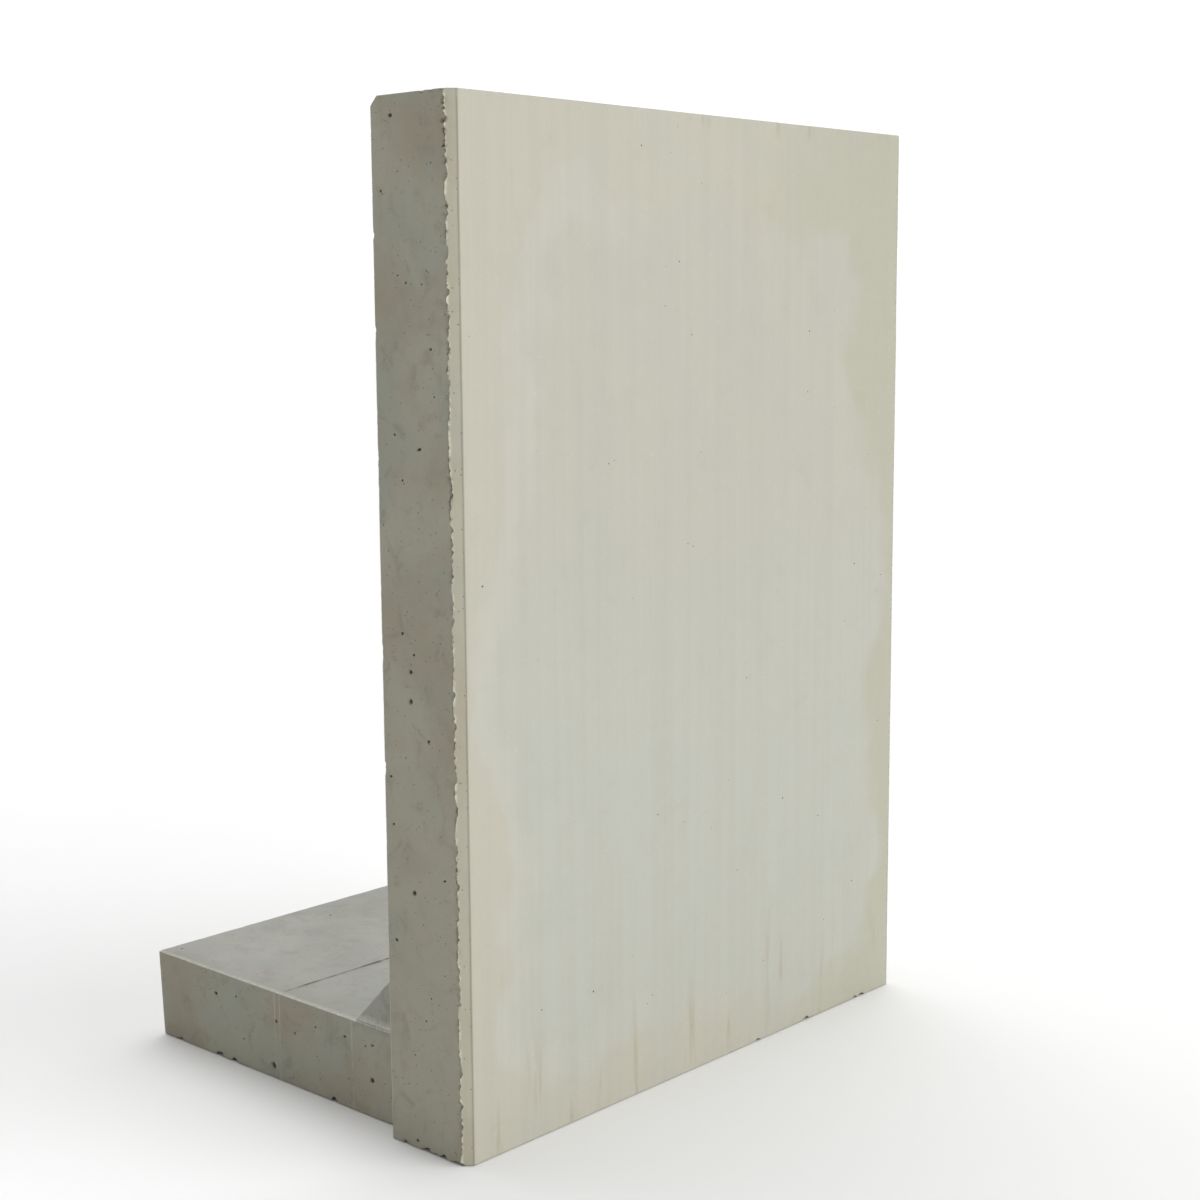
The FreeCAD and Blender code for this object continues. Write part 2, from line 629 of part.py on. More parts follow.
socket_places = {"left": f"(-{SOCKET_PLACE})", "right": SOCKET_PLACE}
build_reinforcement()
build_lifting_gear(socket_places)
build_casting(socket_places)
document.recompute()
check_and_write()
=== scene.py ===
"""The looks of a precast concrete wall unit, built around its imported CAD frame. Metres, +Z up.

The casting gets a finely divided skin with the marks of its mould: ragged edges, chips, air holes and
seams. The steel and spacers inside it stay as packed, with their own materials.
"""

import json
import math

import bpy
import numpy as np
from mathutils import Matrix, Vector


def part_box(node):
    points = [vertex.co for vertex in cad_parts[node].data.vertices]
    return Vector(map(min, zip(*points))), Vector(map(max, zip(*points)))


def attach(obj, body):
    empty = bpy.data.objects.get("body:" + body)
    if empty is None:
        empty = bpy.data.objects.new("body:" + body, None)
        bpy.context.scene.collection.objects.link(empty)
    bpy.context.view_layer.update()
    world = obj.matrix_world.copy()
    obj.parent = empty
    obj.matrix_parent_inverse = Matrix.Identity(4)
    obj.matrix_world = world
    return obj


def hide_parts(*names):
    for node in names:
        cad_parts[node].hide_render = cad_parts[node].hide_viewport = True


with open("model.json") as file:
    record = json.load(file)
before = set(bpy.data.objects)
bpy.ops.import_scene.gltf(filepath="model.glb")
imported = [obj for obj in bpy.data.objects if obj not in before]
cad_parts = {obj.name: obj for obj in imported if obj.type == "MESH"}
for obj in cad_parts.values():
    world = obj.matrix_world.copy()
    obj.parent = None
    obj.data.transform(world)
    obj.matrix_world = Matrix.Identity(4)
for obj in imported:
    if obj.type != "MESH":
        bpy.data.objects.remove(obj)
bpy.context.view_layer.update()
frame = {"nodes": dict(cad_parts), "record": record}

# ---------------------------------------------------------------- sizes

MM = 0.001
CASTING_LOW, CASTING_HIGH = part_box("concrete_casting")
END = CASTING_HIGH.x
FRONT, FOOT_END = CASTING_LOW.y, CASTING_HIGH.y
TOP = CASTING_HIGH.z
BACK = FRONT + 150 * MM
FOOT_TOP = 135 * MM
FOOT_SIDE = END - 29 * MM
FOOT_DRAFT = 8 * MM
DRAFT_SPREAD = 80 * MM
HAUNCH_SIDE = FOOT_SIDE - 4 * MM
HAUNCH_END = BACK + 110 * MM
HAUNCH_TOP = FOOT_TOP + 110 * MM
FRONT_CUT = 13 * MM
TOP_CUT = 12 * MM

RECESS_MOUTH = 30 * MM
RECESS_FLOOR = 22 * MM
POCKET_DEPTH = 46.5 * MM
POCKET_ROOM = 0.2 * MM
RECESS_BLOCK = 36 * MM
ROUND_STEPS = 48

# How far the skin lies under the CAD's faces, which leaves room for marks that stand proud
SKIN_INSET = 0.4 * MM
END_INSET = 1.2 * MM

# How large a triangle may be, and how fast it grows away from an edge, a seam or an air hole
CELL = 30 * MM
BROAD_SIZE = 45 * MM
EDGE_BAND = 3 * MM
EDGE_GROWTH = 1.5
SEAM_BAND = 2 * MM
SEAM_SIZE = 2.4 * MM
HOLE_REACH = 20 * MM
HOLE_RIM = 0.4 * MM
HOLE_GROWTH = 2.2
HOLE_FINENESS = 0.70
HOLE_FINEST = 0.5 * MM

EDGE_REACH = 12 * MM
SAME_PLACE = 0.1 * MM
SEED = 41


# ---------------------------------------------------------------- noise

LATTICE = np.random.default_rng(SEED).random((64, 64, 64))


def noise(points, scale, octaves=1, shift=0.0):
    """Smooth noise from -1 to 1 at each point. scale is the width of its lumps."""
    total = np.zeros(len(points))
    weight, whole = 1.0, 0.0
    for octave in range(octaves):
        at = points / scale * 2.0**octave + shift + 7.31 * octave
        cell = np.floor(at).astype(int)
        part = at - cell
        part = part * part * (3 - 2 * part)
        value = np.zeros(len(points))
        for corner in np.ndindex(2, 2, 2):
            share = np.where(corner, part, 1 - part).prod(axis=1)
            value += share * LATTICE[tuple(((cell + corner) % len(LATTICE)).T)]
        total += weight * (2 * value - 1)
        whole += weight
        weight /= 2
    return total / whole


# ---------------------------------------------------------------- the casting's plain shape

class Shell:
    """Corners and outward triangles of a closed surface. Corners at one place are one corner."""

    def __init__(self):
        self.corners = []
        self.numbers = {}
        self.triangles = []
        self.faces = []

    def corner(self, place):
        key = tuple(round(value / (0.01 * MM)) for value in place)
        if key not in self.numbers:
            self.numbers[key] = len(self.corners)
            self.corners.append(tuple(place))
        return self.numbers[key]

    def triangle(self, places, outward, face):
        a, b, c = (Vector(place) for place in places)
        if (b - a).cross(c - a).dot(Vector(outward)) < 0:
            b, c = c, b
        self.triangles.append([self.corner(place) for place in (a, b, c)])
        self.faces.append(face)

    def sheet(self, place, across, along, outward, face, kept=None):
        """A grid over two lists of values. place turns a pair of them into a point."""
        for u0, u1 in zip(across, across[1:]):
            for v0, v1 in zip(along, along[1:]):
                if kept and not kept((u0 + u1) / 2, (v0 + v1) / 2):
                    continue
                a, b, c, d = place(u0, v0), place(u1, v0), place(u1, v1), place(u0, v1)
                self.triangle((a, b, c), outward, face)
                self.triangle((a, c, d), outward, face)

    def loops(self, outer, inner, outward, face):
        """The surface between two closed loops that go round the same way from the same angle."""
        i = j = 0
        while i < len(outer) or j < len(inner):
            here, there = outer[i % len(outer)], inner[j % len(inner)]
            following, next_there = outer[(i + 1) % len(outer)], inner[(j + 1) % len(inner)]
            if j == len(inner) or (i < len(outer) and i / len(outer) <= j / len(inner)):
                self.triangle((here, following, there), outward, face)
                i += 1
            else:
                self.triangle((here, there, next_there), outward, face)
                j += 1


def filled(stops, step=CELL):
    """The stops in order, with even steps between those further apart than one step."""
    stops = sorted(stops)
    values = []
    for start, end in zip(stops, stops[1:]):
        count = max(1, math.ceil((end - start) / step - 1e-6))
        values += [start + (end - start) * k / count for k in range(count)]
    return values + [stops[-1]]


def mirrored(values):
    return [-value for value in values] + list(values)


def socket_places():
    """(across, deep, mouth height, width over flats) of each lifting socket."""
    for side in ("left", "right"):
        low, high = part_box(f"lifting_socket_{side}")
        middle = (low + high) / 2
        yield middle.x, middle.y, high.z, high.x - low.x


def ring(centre, radius, height):
    turns = (2 * math.pi * k / ROUND_STEPS for k in range(ROUND_STEPS))
    return [(centre[0] + radius * math.cos(t), centre[1] + radius * math.sin(t), height) for t in turns]


def hexagon(centre, flats, height):
    """A hexagon's outline with flats to its two sides, stepped as the round rings are."""
    places = []
    for k in range(ROUND_STEPS):
        turn = 2 * math.pi * k / ROUND_STEPS
        off_flat = (turn + math.pi / 6) % (math.pi / 3) - math.pi / 6
        reach = flats / 2 / math.cos(off_flat)
        places.append((centre[0] + reach * math.cos(turn), centre[1] + reach * math.sin(turn), height))
    return places


def block_outline(centre, across, deep):
    """The grid points round the block that a recess is cut in, from the +X side, turning to +Y."""
    east, north = centre[0] + RECESS_BLOCK, centre[1] + RECESS_BLOCK
    west, south = centre[0] - RECESS_BLOCK, centre[1] - RECESS_BLOCK
    xs = [x for x in across if west - MM / 2 < x < east + MM / 2]
    ys = [y for y in deep if south - MM / 2 < y < north + MM / 2]
    outline = [(xs[-1], y, TOP) for y in ys]
    outline += [(x, ys[-1], TOP) for x in reversed(xs[:-1])]
    outline += [(xs[0], y, TOP) for y in reversed(ys[:-1])]
    outline += [(x, ys[0], TOP) for x in xs[1:-1]]
    first = min(range(len(outline)), key=lambda k: (abs(outline[k][1] - centre[1]), -outline[k][0]))
    return outline[first:] + outline[:first]


def add_recess(shell, socket, across, deep):
    """The conical recess round a lifting socket, and the pocket that the socket fills."""
    x, y, mouth, flats = socket
    up, room = (0, 0, 1), flats + 2 * POCKET_ROOM
    shell.loops(block_outline((x, y), across, deep), ring((x, y), RECESS_MOUTH, TOP), up, "top")
    shell.loops(ring((x, y), RECESS_MOUTH, TOP), ring((x, y), RECESS_FLOOR, mouth), up, "recess")
    shell.loops(ring((x, y), RECESS_FLOOR, mouth), hexagon((x, y), room, mouth), up, "recess")
    top, bottom = hexagon((x, y), room, mouth), hexagon((x, y), room, mouth - POCKET_DEPTH)
    for k in range(ROUND_STEPS):
        after = (k + 1) % ROUND_STEPS
        inward = (x - top[k][0], y - top[k][1], 0)
        shell.triangle((top[k], top[after], bottom[after]), inward, "pocket")
        shell.triangle((top[k], bottom[after], bottom[k]), inward, "pocket")
        shell.triangle((bottom[k], bottom[after], (x, y, mouth - POCKET_DEPTH)), up, "pocket")


def plain_casting():
    """The casting's shape as the mould gives it, on a coarse grid."""
    shell = Shell()
    sockets = list(socket_places())
    edge = END - FRONT_CUT
    block_sides = [x + way * RECESS_BLOCK for x, *_ in sockets for way in (-1, 1)]
    across = filled(mirrored([edge, FOOT_SIDE, HAUNCH_SIDE]) + block_sides)
    wide = [-END] + across + [END]
    front_stop, top_stop = FRONT + FRONT_CUT, BACK - TOP_CUT
    block_ends = [sockets[0][1] + way * RECESS_BLOCK for way in (-1, 1)]
    stem_deep = [FRONT] + filled([front_stop, *block_ends, top_stop]) + [BACK]
    foot_deep = filled([BACK, HAUNCH_END]) + filled([HAUNCH_END, FOOT_END])[1:]
    foot_high = filled([0, FOOT_TOP])
    haunch_high = filled([FOOT_TOP, HAUNCH_TOP])
    high = foot_high + haunch_high[1:] + filled([HAUNCH_TOP, TOP - TOP_CUT])[1:] + [TOP]
    foot_across = [x for x in across if abs(x) < FOOT_SIDE + MM]
    haunch_across = [x for x in across if abs(x) < HAUNCH_SIDE + MM]

    def behind_foot(x, z):
        return (abs(x) < FOOT_SIDE and z < FOOT_TOP) or (abs(x) < HAUNCH_SIDE and z < HAUNCH_TOP)

    def in_block(x, y):
        return any(max(abs(x - s[0]), abs(y - s[1])) < RECESS_BLOCK for s in sockets)

    def under_haunch(x, y):
        return abs(x) < HAUNCH_SIDE and y < HAUNCH_END

    ahead, behind, up, down = (0, -1, 0), (0, 1, 0), (0, 0, 1), (0, 0, -1)
    shell.sheet(lambda x, z: (x, FRONT, z), across, high, ahead, "front")
    shell.sheet(
        lambda x, z: (x, BACK, z), wide, high[:-1], behind, "back", lambda x, z: not behind_foot(x, z)
    )
    shell.sheet(
        lambda x, y: (x, y, TOP), across, stem_deep[:-1], up, "top", lambda x, y: not in_block(x, y)
    )
    shell.sheet(lambda x, y: (x, y, 0), across, stem_deep, down, "bottom")
    shell.sheet(lambda x, y: (x, y, 0), foot_across, foot_deep, down, "bottom")
    shell.sheet(
        lambda x, t: (x, BACK - TOP_CUT * t, TOP - TOP_CUT + TOP_CUT * t), wide, [0, 1], (0, 1, 1), "top"
    )
    shell.sheet(
        lambda x, y: (x, y, FOOT_TOP), foot_across, foot_deep, up, "foot_top",
        lambda x, y: not under_haunch(x, y),
    )
    shell.sheet(lambda x, z: (x, FOOT_END, z), foot_across, foot_high, behind, "foot_end")
    steps = len(haunch_high) - 1
    for k in range(steps):
        rise = [haunch_high[k], haunch_high[k + 1]]
        shell.sheet(
            lambda x, z: (x, BACK + HAUNCH_TOP - z, z), haunch_across, rise, (0, 1, 1), "haunch"
        )
    for side in (-1, 1):
        out = (side, 0, 0)
        shell.sheet(
            lambda y, z: (side * END, y, z), stem_deep[1:], high, out, "end",
            lambda y, z: not (y > top_stop and z > TOP - TOP_CUT),
        )
        corner = [(top_stop, TOP - TOP_CUT), (BACK, TOP - TOP_CUT), (top_stop, TOP)]
        shell.triangle([(side * END, y, z) for y, z in corner], out, "end")
        shell.sheet(
            lambda t, z: (side * (END - FRONT_CUT * t), front_stop - FRONT_CUT * t, z), [0, 1], high,
            (side, -1, 0), "strip",
        )
        for z, way in ((TOP, 1), (0, -1)):
            corner = [(edge, FRONT), (edge, front_stop), (END, front_stop)]
            shell.triangle([(side * x, y, z) for x, y in corner], (0, 0, way), "top" if way > 0 else "bottom")
            deep = stem_deep[1:-1] if way > 0 else stem_deep[1:]
            shell.sheet(
                lambda t, y: (side * (edge + FRONT_CUT * t), y, z), [0, 1], deep, (0, 0, way),
                "top" if way > 0 else "bottom",
            )
        shell.sheet(lambda y, z: (side * FOOT_SIDE, y, z), foot_deep, foot_high, out, "foot_side")
        for j in range(steps):
            for k in range(steps - j):
                low, top = haunch_high[k], haunch_high[k + 1]
                near, far = BACK + haunch_high[j] - FOOT_TOP, BACK + haunch_high[j + 1] - FOOT_TOP
                x = side * HAUNCH_SIDE
                shell.triangle([(x, near, low), (x, far, low), (x, near, top)], out, "haunch_end")
                if j + k < steps - 1:
                    shell.triangle([(x, far, low), (x, far, top), (x, near, top)], out, "haunch_end")
    for socket in sockets:
        add_recess(shell, socket, across, stem_deep)
    return shell


# ---------------------------------------------------------------- edges, holes and other marks

def edge_list():
    """(name, start, end, fine size, wear depth, way into the concrete) of each edge that wears."""
    edges = []
    cut_y, top_y, cut_z = FRONT + FRONT_CUT, BACK - TOP_CUT, TOP - TOP_CUT
    for side, name in ((-1, "left"), (1, "right")):
        near = side < 0
        x, cut_x = side * END, side * (END - FRONT_CUT)
        foot_x, haunch_x = side * FOOT_SIDE, side * HAUNCH_SIDE
        foot_tip = (foot_x, FOOT_END, FOOT_TOP)
        toe = (haunch_x, HAUNCH_END, FOOT_TOP)
        arris = 1.5 if near else 7
        plain = 3.0 if near else 8
        edges += [
            (f"{name}_arris", (x, cut_y, 0), (x, cut_y, TOP), arris, 3.4, (-side * 0.9, 0.4, 0)),
            (f"{name}_line", (cut_x, FRONT, 0), (cut_x, FRONT, TOP), plain, 0.2, (-side * 0.4, 0.9, 0)),
            (f"{name}_rear", (x, BACK, 0), (x, BACK, cut_z), plain, 1.6, (-side, -1, 0)),
            (f"{name}_head", (x, cut_y, TOP), (x, top_y, TOP), plain, 1.0, (-side, 0, -1)),
            (f"{name}_head_cut", (x, top_y, TOP), (x, BACK, cut_z), plain, 0.8, (-side, -0.6, -0.6)),
            (f"{name}_strip_head", (x, cut_y, TOP), (cut_x, FRONT, TOP), plain, 1.0, (-side * 0.5, 0.5, -1)),
            (f"{name}_strip_base", (x, cut_y, 0), (cut_x, FRONT, 0), plain, 1.4, (-side * 0.5, 0.5, 1)),
            (f"{name}_base", (x, cut_y, 0), (x, BACK, 0), plain, 2.4, (-side, 0, 1)),
            (f"{name}_foot_base", (foot_x, BACK, 0), (foot_x, FOOT_END, 0), plain, 2.0, (-side, 0, 1)),
            (f"{name}_foot_arris", (foot_x, BACK, FOOT_TOP), foot_tip, plain, 1.0, (-side, 0, -1)),
            (f"{name}_foot_corner", (foot_x, FOOT_END, 0), foot_tip, plain, 1.2, (-side, -1, 0)),
            (f"{name}_haunch", toe, (haunch_x, BACK, HAUNCH_TOP), plain, 1.6, (-side, -0.6, -0.6)),
            (f"{name}_haunch_base", toe, (haunch_x, BACK, FOOT_TOP), plain, 0, (0, 0, 0)),
        ]
    for name, half, y, z, fine, wear, inward in (
        ("front_head", END - FRONT_CUT, FRONT, TOP, 3.6, 0.7, (0, 1, -1)),
        ("front_base", END - FRONT_CUT, FRONT, 0, 3.6, 1.2, (0, 1, 1)),
        ("rear_head", END, top_y, TOP, 8, 0.8, (0, -0.4, -1)),
        ("rear_cut", END, BACK, cut_z, 8, 0.8, (0, -1, -0.4)),
        ("foot_end_head", FOOT_SIDE, FOOT_END, FOOT_TOP, 5, 1.2, (0, -1, -1)),
        ("foot_end_base", FOOT_SIDE, FOOT_END, 0, 8, 1.8, (0, -1, 1)),
    ):
        edges.append((name, (-half, y, z), (half, y, z), fine, wear, inward))
    return [(*edge[:3], edge[3] * MM, edge[4] * MM, edge[5]) for edge in edges]


EDGES = edge_list()


def from_edge(points, start, end):
    """(distance from the edge, distance along it) of each point."""
    start, end = np.array(start), np.array(end)
    length = np.linalg.norm(end - start)
    way = (end - start) / length
    along = np.clip((points - start) @ way, 0, length)
    return np.linalg.norm(points - (start + along[:, None] * way), axis=1), along


STEM_ACROSS = (-END + 20 * MM, END - 20 * MM)
STEM_DEEP = (FRONT + 20 * MM, BACK - 6 * MM)
STEM_HIGH = (8 * MM, TOP - 15 * MM)
FOOT_ACROSS = (-FOOT_SIDE + 10 * MM, FOOT_SIDE - 10 * MM)
FOOT_DEEP = (BACK + 10 * MM, FOOT_END - 15 * MM)
FOOT_HIGH = (8 * MM, FOOT_TOP - 8 * MM)

# face: (fixed axis, its value, outward sign, ranges of the other two axes)
FACES = {
    "front": (1, FRONT, -1, (STEM_ACROSS, (10 * MM, TOP - 10 * MM))),
    "back": (1, BACK, 1, ((-END + 10 * MM, END - 10 * MM), (HAUNCH_TOP + 10 * MM, TOP - 30 * MM))),
    "left_end": (0, -END, -1, (STEM_DEEP, STEM_HIGH)),
    "right_end": (0, END, 1, (STEM_DEEP, STEM_HIGH)),
    "left_foot": (0, -FOOT_SIDE, -1, (FOOT_DEEP, FOOT_HIGH)),
    "right_foot": (0, FOOT_SIDE, 1, (FOOT_DEEP, FOOT_HIGH)),
    "foot_top": (2, FOOT_TOP, 1, (FOOT_ACROSS, (HAUNCH_END + 10 * MM, FOOT_END - 10 * MM))),
    "foot_end": (1, FOOT_END, 1, (FOOT_ACROSS, FOOT_HIGH)),
    "head": (2, TOP, 1, (STEM_ACROSS, (FRONT + 8 * MM, BACK - 20 * MM))),
}

# face: (how many air holes, least and greatest radius in mm, depth against radius)
SCATTER = {
    "front": (52, 0.8, 1.6, 0.9),
    "back": (30, 1.0, 3.2, 0.8),
    "left_end": (34, 0.8, 1.9, 0.9),
    "right_end": (14, 1.0, 3.0, 0.8),
    "left_foot": (22, 0.9, 2.0, 0.9),
    "right_foot": (8, 1.0, 3.0, 0.8),
    "foot_top": (20, 1.2, 4.0, 0.45),
    "foot_end": (10, 1.0, 3.0, 0.8),
    "head": (9, 1.0, 2.8, 0.7),
}

# face: (how many larger air holes, least and greatest length in mm, depth against width)
LARGE_SCATTER = {
    "left_end": (18, 4, 9, 0.55),
    "left_foot": (10, 4, 11, 0.55),
    "foot_top": (9, 8, 24, 0.35),
}

# Chips: (edge, how many, from and to as shares of its length, greatest half length and depth in mm).
# The near arris is crumbled at its top, and so is the head beside it.
CHIP_SCATTER = [
    ("left_arris", 6, 0.95, 1.0, 5, 4.6),
    ("left_arris", 9, 0.02, 0.95, 8, 3.4),
    ("left_base", 6, 0.0, 0.9, 14, 5.5),
    ("left_head", 4, 0.0, 0.35, 4.5, 3.2),
    ("left_strip_head", 2, 0.2, 0.8, 4, 2.4),
    ("left_rear", 5, 0.05, 0.95, 16, 2.5),
    ("left_foot_base", 4, 0.1, 0.95, 16, 4.8),
    ("left_foot_arris", 3, 0.1, 0.95, 7, 2.5),
    ("front_base", 5, 0.1, 0.98, 8, 3.6),
    ("front_head", 3, 0.1, 0.9, 6, 1.8),
    ("foot_end_head", 2, 0.1, 0.9, 11, 3.0),
    ("foot_end_base", 2, 0.1, 0.9, 11, 3.8),
    ("right_arris", 3, 0.1, 0.9, 8, 3.0),
    ("right_base", 2, 0.1, 0.9, 11, 4.0),
    ("rear_cut", 3, 0.1, 0.9, 10, 2.5),
]

# Joints between mould plates mark the foot: (place along Y, height on its top, height on its sides)
SEAMS = [
    (FRONT + 429 * MM, 1.1 * MM, 0.5 * MM),
    (FRONT + 441 * MM, 0, 0.4 * MM),
    (FRONT + 267 * MM, 0, 0.35 * MM),
]
SEAM_HALF_WIDTH = 2.3 * MM
SHOULDER = 9 * MM
FILLET = 10 * MM


def scattered_holes(random):
    """(centre, fixed axis, outward sign, two half widths, tilt, depth) of every air hole."""
    holes = []
    for face, (count, least, most, share) in SCATTER.items():
        axis, level, sign, ranges = FACES[face]
        for _ in range(count):
            radius = least * MM + (most * MM - least * MM) * random.random() ** 2.5
            first, second = (low + (high - low) * random.random() for low, high in ranges)
            squeeze, tilt = 0.6 + 0.4 * random.random(), math.pi * random.random()
            holes.append((axis, level, sign, first, second, radius, radius * squeeze, tilt, share * radius))
    for face, (count, least, most, share) in LARGE_SCATTER.items():
        axis, level, sign, ranges = FACES[face]
        for _ in range(count):
            length = least * MM + (most * MM - least * MM) * random.random() ** 2
            first, second = (low + (high - low) * random.random() for low, high in ranges)
            width, tilt = length * (0.45 + 0.45 * random.random()), 1.4 * (random.random() - 0.5)
            holes.append((axis, level, sign, first, second, length / 2, width / 2, tilt, share * width))
    return holes


def scattered_chips(random):
    """(edge, distance along it, half length, depth) of every chip."""
    lengths = {name: math.dist(start, end) for name, start, end, *_ in EDGES}
    chips = []
    for edge, count, low, high, half, depth in CHIP_SCATTER:
        for _ in range(count):
            place = lengths[edge] * (low + (high - low) * random.random())
            size = half * MM * (0.5 + 0.5 * random.random())
            chips.append((edge, place, size, depth * MM * (0.6 + 0.4 * random.random())))
    return chips


def hole_centre(hole):
    axis, level, _, first, second = hole[:5]
    centre = [first, second]
    centre.insert(axis, level)
    return np.array(centre)


HOLES = scattered_holes(np.random.default_rng(SEED + 1))
CHIPS = scattered_chips(np.random.default_rng(SEED + 2))


# ---------------------------------------------------------------- dividing the surface

class HoleGrid:
    """Which air hole is the nearest to each place, from a grid of cells."""

    CELL = 4 * MM

    def __init__(self):
        self.centres = np.array([hole_centre(hole) for hole in HOLES])
        self.low = np.array(CASTING_LOW) - HOLE_REACH - 2 * self.CELL
        room = np.array(CASTING_HIGH) - self.low + HOLE_REACH
        shape = tuple((room / self.CELL).astype(int) + 2)
        self.nearest = np.full(shape, -1, np.int16)
        best = np.full(shape, HOLE_REACH, np.float32)
        for number, centre in enumerate(self.centres):
            first = ((centre - HOLE_REACH - self.low) / self.CELL).astype(int)
            last = ((centre + HOLE_REACH - self.low) / self.CELL).astype(int) + 1
            block = tuple(slice(a, b) for a, b in zip(first, last))
            grids = np.ogrid[block]
            off = [self.low[k] + (grids[k] + 0.5) * self.CELL - centre[k] for k in range(3)]
            distance = np.sqrt(off[0] ** 2 + off[1] ** 2 + off[2] ** 2).astype(np.float32)
            closer = distance < best[block]
            best[block][closer] = distance[closer]
            self.nearest[block][closer] = number

    def at(self, points):
        """The number of the nearest hole to each point, or -1."""
        return self.nearest[tuple(((points - self.low) / self.CELL).astype(int).T)]


class Sizes:
    """The longest side that a triangle may have at each place."""

    def __init__(self, grid):
        self.grid = grid
        self.radius = np.array([min(hole[5:7]) for hole in HOLES])
        self.reach = np.array([max(hole[5:7]) for hole in HOLES]) + HOLE_RIM

    def at(self, points):
        size = np.full(len(points), BROAD_SIZE)
        for _, start, end, fine, *_ in EDGES:
            reach = EDGE_BAND + (BROAD_SIZE - fine) / EDGE_GROWTH
            low, high = np.minimum(start, end) - reach, np.maximum(start, end) + reach
            near = np.flatnonzero(((points > low) & (points < high)).all(axis=1))
            beyond = np.maximum(from_edge(points[near], start, end)[0] - EDGE_BAND, 0)
            size[near] = np.minimum(size[near], fine + EDGE_GROWTH * beyond)
        on_side = (points[:, 2] < FOOT_TOP + MM) & (points[:, 0] < -FOOT_SIDE + MM)
        on_top = (points[:, 2] > FOOT_TOP - MM) & (points[:, 1] > BACK + MM)
        for place, top_height, _ in SEAMS:
            beyond = np.maximum(np.abs(points[:, 1] - place) - SEAM_BAND, 0)
            marked = on_side | on_top if top_height else on_side
            size = np.where(marked, np.minimum(size, SEAM_SIZE + EDGE_GROWTH * beyond), size)
        which = self.grid.at(points)
        near = np.flatnonzero(which >= 0)
        which = which[near]
        distance = np.linalg.norm(points[near] - self.grid.centres[which], axis=1)
        fine = np.maximum(HOLE_FINENESS * self.radius[which], HOLE_FINEST)
        beyond = np.maximum(distance - self.reach[which], 0)
        size[near] = np.minimum(size[near], fine + HOLE_GROWTH * beyond)
        return size


def divide(points, triangles, faces, sizes):
    """Splits sides that are too long, always the longest of a triangle first, until none is."""
    while True:
        sides = np.sort(triangles[:, [[0, 1], [1, 2], [2, 0]]], axis=2).reshape(-1, 2)
        keys = sides[:, 0] * len(points) + sides[:, 1]
        _, first, which = np.unique(keys, return_index=True, return_inverse=True)
        ends, which = sides[first], which.reshape(-1, 3)
        length = np.linalg.norm(points[ends[:, 0]] - points[ends[:, 1]], axis=1)
        middle = points[ends].mean(axis=1)
        split = length > sizes.at(middle)
        if not split.any():
            return points, triangles, faces
        longest = length[which].argmax(axis=1)
        longest_side = which[np.arange(len(which)), longest]
        while True:
            lacking = split[which].any(axis=1) & ~split[longest_side]
            if not lacking.any():
                break
            split[longest_side[lacking]] = True
        number = np.full(len(ends), -1)
        number[split] = len(points) + np.arange(split.sum())
        points = np.vstack([points, middle[split]])
        touched = split[which].any(axis=1)
        turn = (longest[touched, None] + np.arange(3)) % 3
        a, b, c = np.take_along_axis(triangles[touched], turn, axis=1).T
        ab, bc, ca = number[np.take_along_axis(which[touched], turn, axis=1)].T
        face = faces[touched]
        pieces = [(triangles[~touched], faces[~touched])]
        for chosen, corners in (
            (ca < 0, (a, ab, c)),
            (ca >= 0, (a, ab, ca)),
            (ca >= 0, (ca, ab, c)),
            (bc < 0, (ab, b, c)),
            (bc >= 0, (ab, b, bc)),
            (bc >= 0, (ab, bc, c)),
        ):
            pieces.append((np.stack(corners, axis=1)[chosen], face[chosen]))
        triangles = np.vstack([piece for piece, _ in pieces])
        faces = np.concatenate([face for _, face in pieces])


# ---------------------------------------------------------------- wearing the surface

def corner_normals(points, triangles):
    """The mean outward direction at each corner, counting each flat direction once by its area."""
    a, b, c = (points[triangles[:, k]] for k in range(3))
    normal = np.cross(b - a, c - a)
    normal /= np.linalg.norm(normal, axis=1, keepdims=True)
    total = np.zeros_like(points)
    sides = (b - a, c - b, a - c)
    for k in range(3):
        one, other = sides[k], -sides[k - 1]
        cosine = (one * other).sum(1) / (np.linalg.norm(one, axis=1) * np.linalg.norm(other, axis=1))
        angle = np.arccos(np.clip(cosine, -1, 1))
        np.add.at(total, triangles[:, k], normal * angle[:, None])
    return total / np.linalg.norm(total, axis=1, keepdims=True)


def smooth_step(value, low, high):
    t = np.clip((value - low) / (high - low), 0, 1)
    return t * t * (3 - 2 * t)


def add_mark(marks, name, near, values):
    marks[name][near] = np.maximum(marks[name][near], values)


